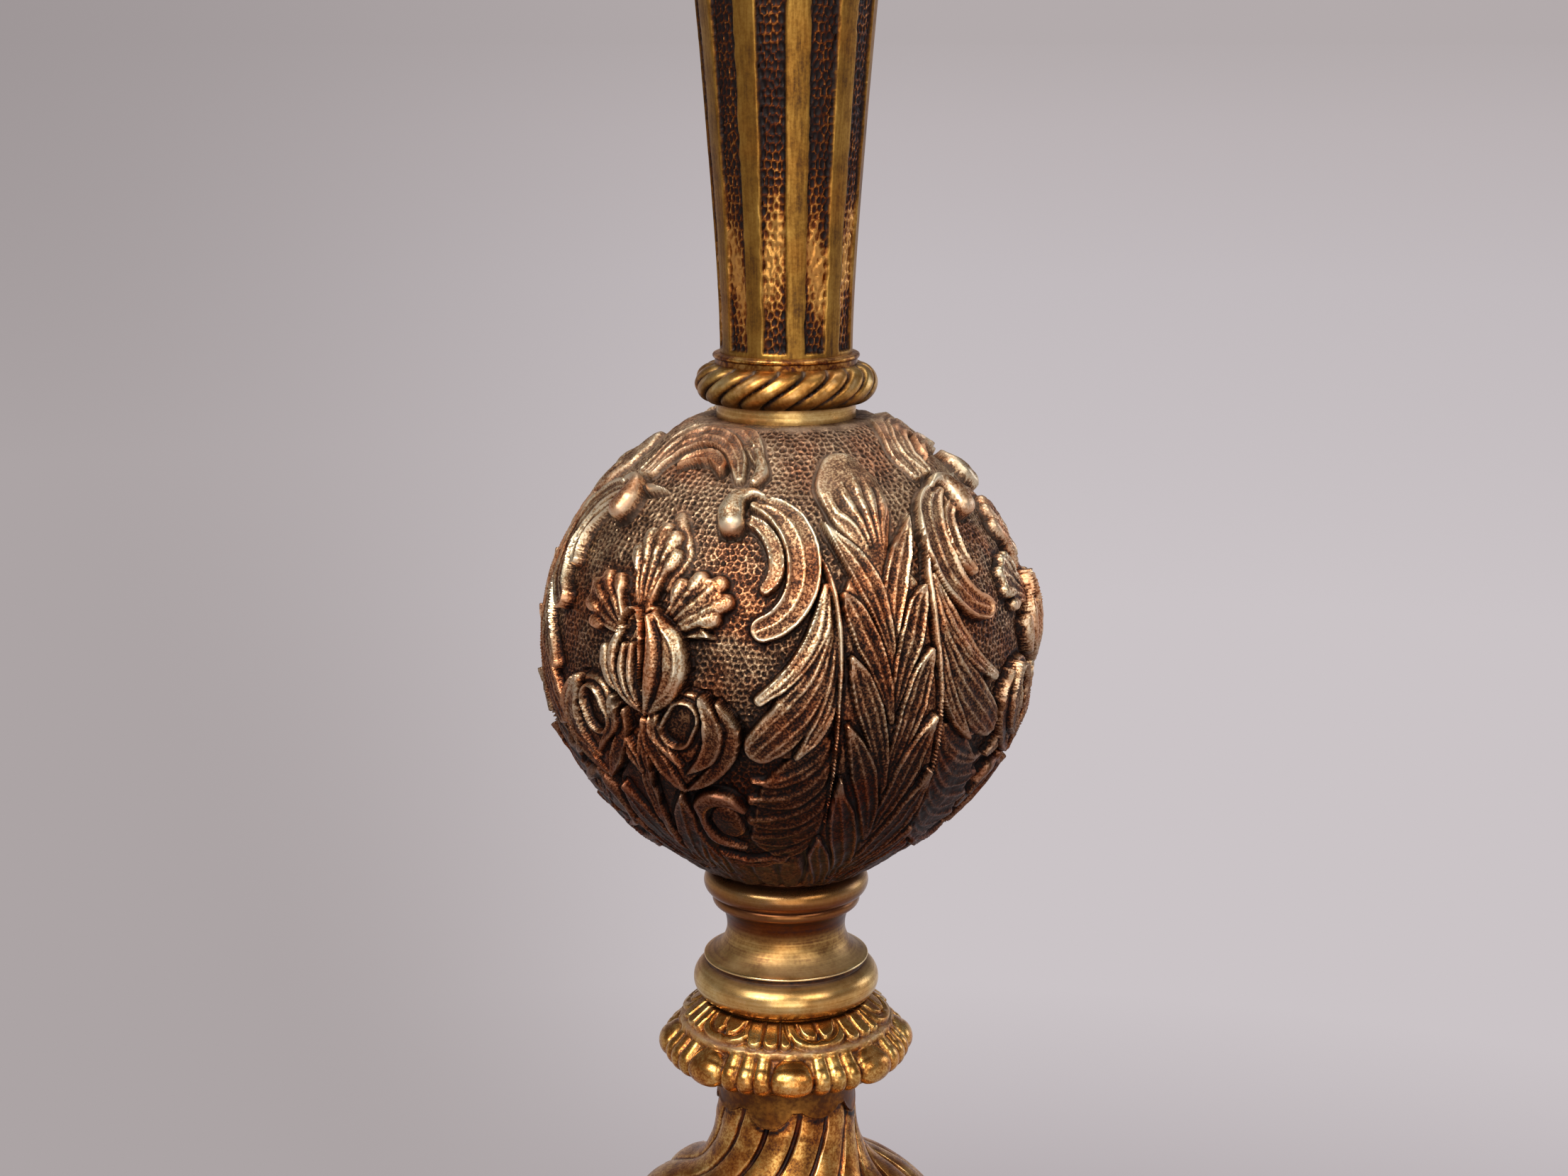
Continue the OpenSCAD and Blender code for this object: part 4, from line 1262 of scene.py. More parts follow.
    def petals(self) -> list[Lobe]:
        """Draws the three petals behind the bud and the small leaves between them.

        Returns:
            The strokes, in the order in which they are laid.
        """
        fans = (
            ((-38, 12), ((-50, 13.4), (-53, 17.2), (-52.6, 21.4), (-49, 23.8), (-44.8, 23.6)), 7.6, 2.6, 3.7),
            ((-31.4, 12), ((-25.6, 24), (-21.2, 26), (-16.4, 25.2), (-14.4, 21.4), (-17, 17.8)), 7.4, 3.0, 4.5),
            ((-35, 15), ((-40.8, 31), (-38.6, 34.8), (-34.8, 36.4), (-31.2, 34.6), (-29.6, 30.6)), 7.2, 3.0, 4.4),
        )
        return [
            Lobe(((-30, 24), (-28, 32), (-33, 40.4)), (2.6, 4.2, 3.0), (1.3,), Form.DOME, groove=0.3, edge=1.4),
            Lobe(((-24.6, 13.6), (-20.4, 14.4), (-16.6, 13.4)), (1.8, 2.4, 0.7), (2.6, 3.2, 3.8), hollow=1.2),
        ] + [stroke for fan in fans for stroke in self.fan(*fan)]

    def low_leaves(self) -> list[Lobe]:
        """Draws the stalk and the leaves under the flowers."""
        return [
            Lobe(((-36, -66), (-36, -48), (-36, -30), (-35, -14)), (10, 15, 17, 8), (1.2,), hollow=0.0,
                 groove=0.3, edge=1.8),
            Lobe(((-29, -60), (-26.5, -49), (-25.4, -38)), (2.6, 4.2, 1.4), (2.2, 3.0, 3.8), ribs=1, edge=1.8),
            Lobe(((-43, -60), (-46, -49), (-49, -38)), (2.6, 4.2, 1.4), (2.2, 3.0, 3.8), ribs=1, edge=1.8),
            Lobe(((-37, -58), (-41, -43), (-43.4, -33), (-44.2, -25)), (3.2, 5.8, 5.4, 1.8), (2.4, 3.2, 4.0, 5.6),
                 ribs=1, edge=1.8),
            Lobe(((-34.4, -56), (-30.4, -42), (-28, -32), (-26.2, -24.4)), (2.6, 5.0, 4.8, 1.6), (2.4, 3.2, 4.0, 5.6),
                 ribs=1, edge=1.8),
            Lobe(((-33.4, -6), (-34.2, -14), (-35.2, -26), (-35.2, -42)), (1.2, 2.6, 2.6, 1.4), (4.2, 4.0, 3.4),
                 ribs=1),
            Lobe(((-36, -19), (-37.2, -15.6), (-38.4, -12.4)), (1.4, 2.6, 1.8), (4.2, 4.4, 4.6), hollow=1.4),
            Lobe(((-62, -20), (-59, -18), (-56.6, -14)), (1.6, 2.8, 1.0), (3.0, 3.6, 4.4), ribs=1),
            Lobe(((-58, -32), (-55, -27), (-52.4, -22)), (2.0, 3.2, 1.1), (3.0, 3.6, 4.6), ribs=1),
        ]

    def roses(self) -> list[Lobe]:
        """Draws the two rosebuds below the big bud.

        Returns:
            The strokes, in the order in which they are laid.
        """
        strokes = []
        for side in (1, -1):
            crescents = (
                (((11.4, -21.6), (12.8, -12.4), (13.6, -6.4)), (2.4, 11.6, 12.6), (3.4,), Form.DOME, 2.2),
                (((2.8, -5), (4.2, -11.4), (7.4, -17.4), (11.2, -22.8)), (1.4, 3.1, 3.1, 1.2), (3.6, 4.4, 4.8, 5.0),
                 Form.LEAF, 1.0),
                (((11.6, -23), (18.2, -18.4), (22.8, -12.6), (23.8, -6.4), (20.8, -1)), (1.0, 3.0, 3.6, 3.4, 1.4),
                 (4.0, 4.6, 4.8, 4.2), Form.LEAF, 1.0),
                (((13, -17.8), (18.2, -13.2), (19.9, -7), (17.6, 0)), (0.9, 3.2, 3.8, 2.0), (4.8, 5.8, 6.0, 5.6),
                 Form.LEAF, 1.0),
                (((5.6, -2.4), (6.2, -8.6), (11.8, -16)), (1.8, 2.9, 1.0), (4.8, 5.6, 5.8), Form.LEAF, 1.0),
                (((11.2, -8), (13, -4.6)), (6.8, 6.6), (6.6,), Form.DOME, 1.2),
            )
            strokes += [Lobe(tuple((self.flower_axis + side * a, v) for a, v in spine), half, level, form, edge=edge,
                             groove=0.7, hollow=1.0, rim=0.8) for spine, half, level, form, edge in crescents]
            hole = ((self.flower_axis + side * 11.2, -8), (self.flower_axis + side * 13, -4.6))
            strokes.append(Lobe(hole, (5.4, 5.2), (3.2,), hollow=1.6, rim=0.5, groove=0.0, edge=1.0))
        return strokes

    def relief(self) -> Relief:
        """Chases one repeat of the ball.

        Returns:
            The heights over its ground.
        """
        outline = self.ground()
        chased = Relief(outline, self.repeat, self.columns)
        lobes = self.calyx() + [lobe.mirrored(self.leaf_axis) for lobe in self.calyx()]
        lobes += self.top_scroll() + self.palmette() + self.leaf_bed()
        for lobe in self.side_leaf() + self.side_scroll() + self.half_leaves():
            lobes += [lobe.mirrored(self.leaf_axis), lobe]
        lobes += self.low_leaves() + self.petals() + self.roses() + self.bud()
        for lobe in lobes:
            chased.stamp(self.on_outline(lobe, outline))
        latitude = self.latitude(outline)
        chased.lift *= 1 - 0.28 * smooth((-12 - latitude[:, None]) / 30)
        uneven = np.random.default_rng(5).normal(0, 1, chased.lift.shape)
        for size, depth in ((0.9, 0.05), (2.6, 0.12)):
            rough = blurred(uneven, size / self.step, size / (self.radius * math.radians(chased.turn[1])))
            chased.lift += depth * rough / rough.std()
        low = float(np.interp(-48, latitude, outline.s))
        high = float(np.interp(69, latitude, outline.s))
        chased.punch(self.pitch, 0.46, 7, low, high)
        return chased

    def build(self) -> list[Piece]:
        """Builds the ball in equal sectors.

        Returns:
            The sectors.
        """
        chased = self.relief()
        outline = chased.outline
        wear = chased.wear(0.4, 2.0)
        latitude = self.latitude(outline)[:, None]
        dust = smooth((latitude - 14) / 50) * 0.6 * (1 - np.clip(chased.lift / 6, 0, 0.6))
        dust = (dust + smooth((latitude - 60) / 8) * 0.2) * (1 - 0.85 * chased.pits)
        shade = 0.86 * smooth((26 - latitude) / 58) * np.ones_like(wear)
        # Painted light and shade on the wear: ridges lighter towards the top, darker in the lower half, and the
        # flowers' region darker.
        round_ = (chased.turn[None, :] - self.flower_axis + 30) % 60 - 30
        flower = np.exp(-((round_ / 15) ** 2) - ((latitude - 8) / 20) ** 2)
        wear = wear + 0.04 * smooth((latitude - 5) / 40) - 0.15 * shade - 0.11 * flower
        marks = marked(unit(wear - 0.05 * chased.pits), unit(dust), shade,
                       1 - unit(chased.cover))
        pieces = []
        half = self.columns // 2
        inside = [(r, self.centre + z) for r, z in arc(0, 0, self.radius - self.wall, 66, -68, 24)]
        closing = ([(24, self.high), (24, self.high - 5)] + inside[::3] + [(22, self.low + 4), (22, self.low)])
        radii, heights = outline.raised(chased.lift)
        heights = np.clip(heights, self.low, self.high)
        span = 360 // self.sectors
        for i in range(self.sectors):
            every = 2 if i in self.rear else 1
            pick = (np.arange(0, half + 1, every) + (i % 2) * half) % self.columns
            rows = np.unique(np.append(np.arange(0, len(outline.s), every), len(outline.s) - 1))
            turn = i * span + np.linspace(0, span, len(pick))
            block = np.ix_(rows, pick)
            skin = Skin(radii[block], heights[block], turn, closing, {k: v[block] for k, v in marks.items()},
                        full=False)
            pieces.append(skin.build(f"ball_sector_{i + 1}", "ball", "dark_brass", PATINA, 75))
        return pieces


# ---- rope rings


@dataclass
class RopeRing:
    """Ring of plump twisted strands."""

    name: str
    node: str
    outer: float
    middle: float
    strands: int
    thick: float = 6.8
    depth: float = 2.6
    lead: float = 25.0
    per_strand: int = 22
    around: int = 34
    start: float = -2.4

    def build(self) -> Piece:
        """Twists the ring.

        Returns:
            The finished ring.
        """
        ring_r = self.outer - self.thick
        side = np.linspace(-90, 90, self.around + 1)[:, None]
        turn = np.arange(self.strands * self.per_strand) * 360 / (self.strands * self.per_strand)
        shift = self.lead * np.sin(np.radians(side)) * 0.62
        phase = (turn[None, :] - self.start - shift) * self.strands / 360
        cell = phase % 1
        x = 1 - np.abs(cell * 2 - 1)
        plump = unit(1 - np.abs(1 - x) ** 3.4) ** 0.55
        hold = smooth((90 - np.abs(side)) / 14)
        facet = np.exp(-((cell - 0.36) / 0.17) ** 2) * np.exp(-((side - 16) / 30) ** 2)
        out = self.thick - hold * (self.depth * (1 - plump) + 0.35 * facet)
        r = ring_r + out * np.cos(np.radians(side))
        z = self.middle + out * np.sin(np.radians(side))
        groove = smooth((x - 0.03) / 0.22)
        # Painted light on the wear: lit brightens the upper side of each strand and the facet adds a painted highlight.
        # The rest is rubbing on the plump strands and dark grooves.
        lit = 0.5 + 0.5 * np.sin(np.radians(side + 20))
        wear = unit(0.1 + 0.3 * plump + 0.24 * lit * plump + 0.22 * facet) * (0.2 + 0.8 * groove)
        shade = unit(-np.sin(np.radians(side)) * 1.1 - 0.2) * 0.7 * np.ones_like(wear)
        dust = unit(np.sin(np.radians(side)) - 0.55) * (1 - plump) * 1.5
        closing = register(self.middle + self.thick) + recess(self.middle - self.thick)
        return Skin(r, z, turn, closing, marked(wear, dust, shade)).build(self.name, self.node, "gilt", POLISHED, 75)


# ---- shaft


@dataclass
class FlutedShaft:
    """Swelling shaft with plain bands between sunk, hammered channels."""

    base: float = 824.8
    height: float = 340.0
    flutes: int = 10
    band_centre: float = 7.9
    share: float = 0.46
    depth: float = 1.0
    split: float = 150.0
    wall: float = 4.5
    floor: float = 10.0
    columns: int = 320

    def outline(self, step: float) -> Outline:
        """Draws the shaft's outline, sampled at a step."""
        points = (curve((23.4, 0), (23.5, 20), (25.2, 43), (27.4, 72), 30)
                  + curve((27.4, 72), (32.6, 143), (43, 230), (43, 288), 50)[1:]
                  + curve((43, 288), (43, 318), (38, 332), (33, 340), 30)[1:])
        return Outline(points, step)

    def part(self, name: str, low: float, high: float, step: float) -> Piece:
        """Builds the lower or the upper length of the shaft.

        Args:
            name: Name of the piece.
            low: Height at which it starts.
            high: Height at which it ends.
            step: Distance between its rows.

        Returns:
            The finished piece.
        """
        whole = self.outline(step)
        keep = (whole.z >= low - 1e-6) & (whole.z <= high + 1e-6)
        points = [(float(np.interp(low, whole.z, whole.r)), low)]
        points += [(float(r), float(z)) for r, z in zip(whole.r[keep], whole.z[keep]) if low < z < high]
        points += [(float(np.interp(high, whole.z, whole.r)), high)]
        outline = Outline(points, step)
        period = 360 / self.flutes
        chased = Relief(outline, 360.0, self.columns)
        turn, z = chased.turn[None, :], outline.z[:, None]
        rng = np.random.default_rng(11)
        uneven = rng.normal(0, 1, chased.lift.shape)
        wobble = 0.5 * blurred(uneven, 9 / step, 6) * 7 / step + 0.2 * blurred(uneven[::-1], 1.6 / step, 3) * 5 / step
        wobble = np.clip(wobble, -0.3, 0.3)
        place = (turn - self.band_centre + period / 2) % period - period / 2
        edge = np.abs(place) - self.share * period / 2
        across = edge * math.pi / 180 * outline.r[:, None] + wobble
        ends = smooth((z - 1.2) / 1.2) * smooth((self.height - 8 - z) / 4)
        sunk = smooth((across + 0.35) / 0.8) * ends
        chased.cover = 1 - unit(sunk * 1.1)
        chased.lift = -self.depth * sunk
        chased.punch(2.3, 0.6, 3, stretch=1.5)
        bright = np.exp(-((z - 28 - 10 * np.sin(turn * 0.11)) / 19) ** 2)
        lumps = blurred(uneven[:, ::-1], 0.8 / step, 0.8 / (math.radians(chased.turn[1]) * 30))
        chased.lift += sunk * bright * (0.3 * chased.pits + 0.2 * lumps / lumps.std())
        wear = chased.wear(0.5, 2.4)
        wear = wear - (1 - sunk) * 0.8 * unit(wear - 0.5)
        wear = wear + sunk * (0.54 * bright - 0.1 - 0.2 * chased.pits * (1 - 0.9 * bright))
        marks = marked(unit(wear), shade=0.12, tone=unit(sunk))
        foot, top = self.base + low, self.base + high
        inner_low, inner_high = outline.r[0] - self.wall, outline.r[-1] - self.wall
        if low <= 0:
            closing = [(inner_high, top), (inner_low, foot + self.floor), (BORE, foot + self.floor)] + recess(foot)
        else:
            closing = register(top) + [(BORE, top - self.floor), (inner_high, top - self.floor), (inner_low, foot)]
        skin = Skin(*outline.raised(chased.lift, self.base), chased.turn, closing, marks)
        return skin.build(name, "fluted_shaft", "brass", SHAFT_BRASS)

    def build(self) -> list[Piece]:
        """Builds the shaft in two lengths."""
        return [self.part("shaft_lower", 0, self.split, 0.6),
                self.part("shaft_upper", self.split, self.height, 1.7)]


# ---- gadroon disc


@dataclass
class GadroonDisc:
    """Disc with eggs and reeds round its rim and a band of chased loops above."""

    base: float = 561.5
    height: float = 23.4
    rim_r: float = 38.9
    rim_z: float = 5.6
    rim_wide: float = 8.3
    rim_tall: float = 7.2
    eggs: int = 8
    egg_centre: float = 2.8
    egg_half: float = 8.2
    reeds: int = 3
    columns: int = 600
    step: float = 0.5

    def outline(self) -> Outline:
        """Draws the disc's outline.

        Returns:
            The outline, from the foot to the spool.
        """
        swell = [(self.rim_r + self.rim_wide * math.cos(math.radians(a)),
                  self.rim_z + self.rim_tall * math.sin(math.radians(a))) for a in range(-66, 60, 6)]
        points = [(27, 0), (34, -0.7)] + swell + [(42.3, 13.0), (40.6, 14.6), (38.9, 15.7), (37.6, 16.9), (36, 18.2),
                                                  (31, 21.9),
                                                  (29, 23.4)]
        return Outline(points, self.step)

    def rim(self, chased: Relief) -> Grid:
        """Raises the eggs and reeds.

        Args:
            chased: The surface.

        Returns:
            Where they are, 0 to 1.
        """
        outline = chased.outline
        period = 360 / self.eggs
        place = (chased.turn[None, :] - self.egg_centre + period / 2) % period - period / 2
        s = outline.s[:, None]
        foot = float(outline.s[np.argmin(outline.z)])
        head = float(np.interp(15.0, outline.z[5:], outline.s[5:]))
        across = place * math.pi / 180 * outline.r[:, None]
        half_arc = (head - foot) / 2 + 1.0
        middle = (head + foot) / 2 - 0.6
        q = np.sqrt((across / self.egg_half) ** 2 + ((s - middle) / half_arc) ** 2)
        egg = 2.9 * np.sqrt(unit(1 - q**2))
        per_degree = math.pi / 180 * (self.rim_r + self.rim_wide)
        room = period * per_degree / 2 - self.egg_half
        t = unit((np.abs(place) * per_degree - self.egg_half - 0.5) / (room - 0.5)) * self.reeds
        cell = np.where(t < 2, np.abs(t - 1), np.abs(t - self.reeds))
        reed = np.sqrt(unit(1 - cell**2)) * (t > 0)
        ends = smooth((s - foot + 3.5) / 3) * smooth((head + 0.8 - s) / 2.2)
        lift = np.maximum(egg, 1.7 * reed * ends) - 2.6 * ends
        chased.lift += lift
        return unit(np.maximum(smooth((1 - q) * 6), reed * ends))

    def top_band(self, chased: Relief) -> None:
        """Chases the loops, tablets and spears under the spool.

        Args:
            chased: The surface.
        """
        outline = chased.outline
        slope = outline.s[outline.r > 38.6][-1]
        low, high = float(slope), outline.length
        for k in range(6):
            c = -40 + 60 * k
            chased.stamp(Lobe(((c - 17, high + 3), (c - 15, low + 7), (c - 10.5, low + 3.6), (c, low + 2.4),
                               (c + 10.5, low + 3.6), (c + 15, low + 7), (c + 17, high + 3)), (2.4,) * 7, (1.3,),
                               hollow=0.0, groove=0.6, edge=1.2))
            for side in (-1, 1):
                chased.stamp(Lobe(((c + side * 6.8, high + 2), (c + side * 5.6, low + 8.4),
                                   (c + side * 3.8, low + 5.8)),
                                  (4.2, 3.8, 2.1), (1.3,), hollow=0.0, groove=0.6, edge=1.2))
            for place, wide in ((-18.4, 3.3), (-8.8, 3.3), (-0.4, 2.4)):
                q = place + 60 * k
                chased.stamp(Lobe(((q, high + 2), (q, low + 0.6 + wide)), (wide * 0.85, wide), (1.3,),
                                  hollow=0.0, groove=0.6, edge=1.1))

    def build(self) -> Piece:
        """Builds the disc.

        Returns:
            The finished disc.
        """
        outline = self.outline()
        chased = Relief(outline, 360.0, self.columns)
        proud = self.rim(chased)
        self.top_band(chased)
        wear = chased.wear(1.6, 2.2, 0.54)
        r, z = outline.r[:, None], outline.z[:, None]
        on_slope = (outline.r < 41) & (outline.z > 12)
        channel = np.exp(-((outline.r - 39.0) / 0.9) ** 2) * on_slope
        low_spots = unit((0.55 - wear) * 2.6)
        facing = unit(outline.out_z[:, None])
        dust = np.clip(channel[:, None] * (1 - proud) * 0.9 + low_spots * facing * 0.35, 0, 0.9)
        shade = np.maximum(unit(-outline.out_z[:, None] - 0.4), 0.3 * smooth((38.6 - r) / 2) * (z > 12))
        out, up = outline.raised(chased.lift)
        up = np.clip(up, np.where(r < 34, 0, -1.1), self.height) + self.base
        skin = Skin(out, up, chased.turn, bored(self.base, self.height), marked(wear, dust, shade))
        return skin.build("gadroon_disc_chased", "gadroon_disc", "gilt", RICH_GILT)


# ---- spiral bulb


@dataclass
class SpiralBulb:
    """Bulb of twisted lobes with the collar of tongues on its neck."""

    base: float = 372.0
    lobes: int = 14
    slope: float = 38.0
    neck_slope: float = 12.0
    neck: float = 25.4
    height: float = 189.5
    collar_height: float = 14.5
    lobe_start: float = 12.4
    columns: int = 448
    step: float = 1.0
    tongue_centre: float = -14.4
    collar_columns: int = 360
    collar_step: float = 0.45

    @property
    def edge(self) -> float:
        """Height at which the collar starts."""
        return self.height - self.collar_height

    def outline(self) -> Outline:
        """Draws the bulb's outline up to its collar.

        Returns:
            The outline, from the cup upwards.
        """
        shoulder = through(np.array([(46, 137.4), (40, 141), (35, 144), (31, 148), (28.2, 153.5), (26.3, 159),
                                     (self.neck, 164.5)]), 48)
        points = (curve((26.5, 0), (36, 34), (66, 54), (66, 94), 50)
                  + curve((66, 94), (66, 116), (60, 127), (46, 137.4), 40)[1:]
                  + [(float(r), float(z)) for r, z in shoulder[1:]] + [(self.neck, self.edge)])
        return Outline(points, self.step)

    def turned_by(self, outline: Outline) -> Grid:
        """Works out how far the lobes have turned at each place, less steeply on the neck.

        Args:
            outline: The bulb's outline.

        Returns:
            The angle at each sample.
        """
        middle = (outline.r[1:] + outline.r[:-1]) / 2
        drop = outline.length - outline.s[1:]
        slope = self.neck_slope + (self.slope - self.neck_slope) * smooth(drop / 32)
        turns = np.degrees(np.concatenate([[0], np.cumsum(np.diff(outline.s) / middle * np.tan(np.radians(slope)))]))
        return turns - turns[-1] + self.lobe_start

    def lobe_relief(self, chased: Relief) -> tuple[Grid, Grid]:
        """Twists the lobes.

        Args:
            chased: The surface.

        Returns:
            Where the sunk matted bands are, 0 to 1, and the bright edges beside them.
        """
        outline = chased.outline
        turns = self.turned_by(outline)
        period = 360 / self.lobes
        place = (chased.turn[None, :] - turns[:, None]) % period
        width = period * math.pi / 180 * outline.r[:, None]
        u = place / period
        size = np.clip(outline.r[:, None] / 66, 0.45, 1)
        right = u * width
        left = (1 - u) * width
        groove = smooth((2.1 * size + 0.3 - np.minimum(right, left)) / (1.3 * size))
        bead = np.exp(-((right - 2.7 * size) / (0.65 * size)) ** 2)
        swell = 1 - np.abs(u * 2 - 1) ** 2.6
        chased.lift += 2.3 * size * swell - 2.2 * size * groove + 0.5 * size * bead
        return groove, bead + 0.5 * smooth((4.4 * size - left) / (2.4 * size))

    def build(self) -> list[Piece]:
        """Builds the bulb and its collar.

        Returns:
            The two pieces.
        """
        outline = self.outline()
        chased = Relief(outline, 360.0, self.columns)
        groove, bead = self.lobe_relief(chased)
        fade = smooth((outline.length - outline.s) / 9)[:, None]
        chased.lift = chased.lift * (0.3 + 0.7 * fade) - 0.9 * (1 - fade)
        wear = chased.wear(0.5, 1.6) + 0.12 * bead
        shade = unit(-outline.out_z[:, None] * 1.2) * np.ones_like(wear)
        # Painted shadow of the collar's tongues: a line just below their edge, with less wear and more shade, strongest
        # where a tongue drops furthest.
        reach = self.tongues(chased.turn)
        line = np.exp(-((outline.z[:, None] - reach + 0.7) / 0.9) ** 2)
        line = line * np.clip((self.edge - reach) / 5, 0.3, 1)
        wear, shade = wear - 0.4 * line, np.maximum(shade, 0.9 * line)
        dust = unit(outline.out_z[:, None] - 0.3) * (0.15 + 0.3 * groove)
        marks = marked(unit(wear), dust * 0.6, shade, unit(groove * 1.2 + 0.5 * bead))
        r, z = outline.raised(chased.lift, self.base)
        top = self.base + outline.z[-1]
        closing = [(20, top), (20, top - 14), (58, self.base + 100), (20, self.base + 12), (REGISTER, self.base)]
        skin = Skin(r, np.maximum(z, self.base), chased.turn, closing, marks)
        return [skin.build("spiral_bulb_twisted", "spiral_bulb", "gilt", RICH_GILT), self.collar()]

    def tongues(self, turn: Grid) -> Grid:
        """Draws the collar's lower edge.

        Args:
            turn: Angles round the stem.

        Returns:
            The height of the edge at each angle.
        """
        reach = np.full((1, len(turn)), self.edge)
        for centre, half, drop in ((self.tongue_centre, 8.9, 6.4), (self.tongue_centre + 45, 8.2, 3.0)):
            across = ((turn[None, :] - centre + 45) % 90 - 45) * math.pi / 180 * self.neck / half
            reach = np.minimum(reach, self.edge + 0.6 - (drop + 0.6) * unit(1 - across**2) ** 0.8)
        return reach

    def collar(self) -> Piece:
        """Builds the smooth collar, whose tongues lie on the neck.

        Returns:
            The finished collar.
        """
        foot = self.edge - 8.5
        points = [(self.neck + 0.5, foot)] + curve(
            (self.neck + 0.3, self.edge - 1), (self.neck + 0.1, self.edge + 6), (self.neck + 0.6, self.height - 5),
            (self.neck + 1.8, self.height), 20)
        outline = Outline(points, self.collar_step)
        chased = Relief(outline, 360.0, self.collar_columns)
        reach = self.tongues(chased.turn)
        z = outline.z[:, None]
        inside = smooth((z - reach) / 0.7)
        rolled = 0.35 * np.exp(-((z - reach - 1.0) / 0.7) ** 2)
        chased.lift = -2.0 * (1 - inside) + rolled * inside
        # Painted shadow: the wear drops along the tongues' edge. The top gets painted shade under the disc.
        wear = unit(0.34 - 0.34 * np.exp(-((z - reach + 0.1) / 0.6) ** 2) + 0.1 * rolled)
        marks = marked(wear, shade=0.7 * smooth((z - self.height + 11) / 10))
        r, _ = outline.raised(chased.lift)
        top = self.base + self.height
        closing = register(top) + [(BORE, top - 10), (21.5, top - 10), (21.5, self.base + foot)]
        skin = Skin(r, z * np.ones_like(r) + self.base, chased.turn, closing, marks)
        return skin.build("neck_collar", "lappet_collar", "dark_brass", DARK_COLLAR, 60)


# ---- plain turned sections


def plain_sections() -> list[Turned]:
    """Lists the plain turned sections of the stem.

    Returns:
        The sections, from the ball outwards.
    """
    spool = ([(27.6, 0)] + arc(27.5, 7.3, 6.8, -88, 76, 28) + [(29.0, 14.4), (29.0, 15.9)]
             + arc(29.9, 16.3, 0.5, -80, 80, 6) + curve((29.6, 16.9), (25.2, 18.4), (22, 22.6), (21.8, 27.4), 28)
             + curve((21.8, 27.4), (21.8, 31), (22.8, 34), (24.6, 36), 14)[1:]
             + arc(24.7, 38.4, 2.5, -70, 50, 14) + arc(25.4, 45, 4.9, -58, 90, 22) + [(24.5, 50), (24.5, 51.1)])
    base_spool = (arc(29, 5, 5, -90, 80, 18) + [(27.5, 11), (26.5, 12)]
                  + curve((26.5, 12), (17, 22), (17, 42), (25, 52), 30) + [(26.5, 53), (26.5, 54)]
                  + arc(26, 58, 4, -80, 90, 16))
    base_ring = [(31, 0)] + arc(33, 5, 4.4, -90, 90, 20) + [(31, 10)]
    return [
        # dark paints shade: on the spool, under its ledge, on its upper neck under the ball and under its upper rings;
        # on the ball collar, its top under the rope. The shaft ring is darker at its foot.
        Turned("spool_turned", "spool", 584.9, spool, bored(0, 51.1), TURNED_BRASS, steps=160, step=0.6,
               dark=((0, 0.1), (11, 0), (13.6, 0.3), (14, 0.7), (15.7, 0.6), (16.1, 0), (24, 0.05), (28, 0.5),
                     (31, 1), (36, 1), (38.5, 0.75), (41.5, 1), (43.5, 0.8), (47, 0.5), (51, 1))),
        Turned("ball_collar_turned", "ball_collar", 802.0, [(24.7, 0), (24.7, 5.2)], bored(0, 5.2), TURNED_BRASS,
               "gilt",
               dark=((3, 0), (5.2, 0.8))),
        Turned("shaft_ring_turned", "shaft_ring", 820.8,
               [(25.2, 0), (25.2, 2.0)] + arc(25.1, 2.9, 0.9, -80, 90, 10) + [(24.6, 4.0)],
               bored(0, 4.0), SPECKLED, "gilt", step=0.4, dark=((0, 0.6), (1.6, 0.4), (2.1, 0), (4, 0))),
        Turned("base_spool_turned", "base_spool", 232.0, base_spool, bored(0, 62), TURNED_BRASS),
        Turned("base_ring_turned", "base_ring", 222.0, base_ring, bored(0, 10), POLISHED, "gilt"),
    ]


# ---- lower stem, foot and top


@dataclass
class LeafCup:
    """Turned cup under the bulb, wrapped in upright leaves."""

    base: float = 307.6
    height: float = 74.4
    leaves: int = 10
    columns: int = 360

    def build(self) -> Piece:
        """Builds the cup.

        Returns:
            The finished cup.
        """
        points = (curve((24, 0), (19, 6), (17, 16), (23, 26), 24) + curve((23, 26), (29, 36), (36, 40), (37, 71.4),
                                                                          30)[1:]
                  + arc(35.6, 73, 1.4, 0, 90, 5))
        outline = Outline(points, 1.2)
        chased = Relief(outline, 360 / self.leaves, self.columns // self.leaves)
        at = 180 / self.leaves
        top = outline.length
        chased.stamp(Lobe(((at, 22), (at, 44), (at, top - 14)), (3, 5.5, 2.0), (0.8, 1.2, 1.0), ribs=1))
        chased.stamp(Lobe(((0, 24), (0, 46), (0, top - 20), (0, top - 6)), (4, 9.6, 10.4, 2.4), (1.0, 1.8, 2.2, 2.6),
                          ribs=3))
        turn, lift, wear = repeated(self.leaves, chased.lift, chased.wear(0.4, 1.2))
        marks = marked(wear, shade=unit(-outline.out_z[:, None]))
        rim, seat = self.base + self.height, self.base + 64.4
        r, z = outline.raised(lift, self.base)
        closing = [(33, rim), (32, self.base + 70), (27.6, seat), (BORE, seat)] + recess(self.base)
        skin = Skin(r, np.clip(z, self.base, rim), turn, closing, marks)
        return skin.build("bulb_cup_leaved", "bulb_cup", "brass", RICH_GILT)


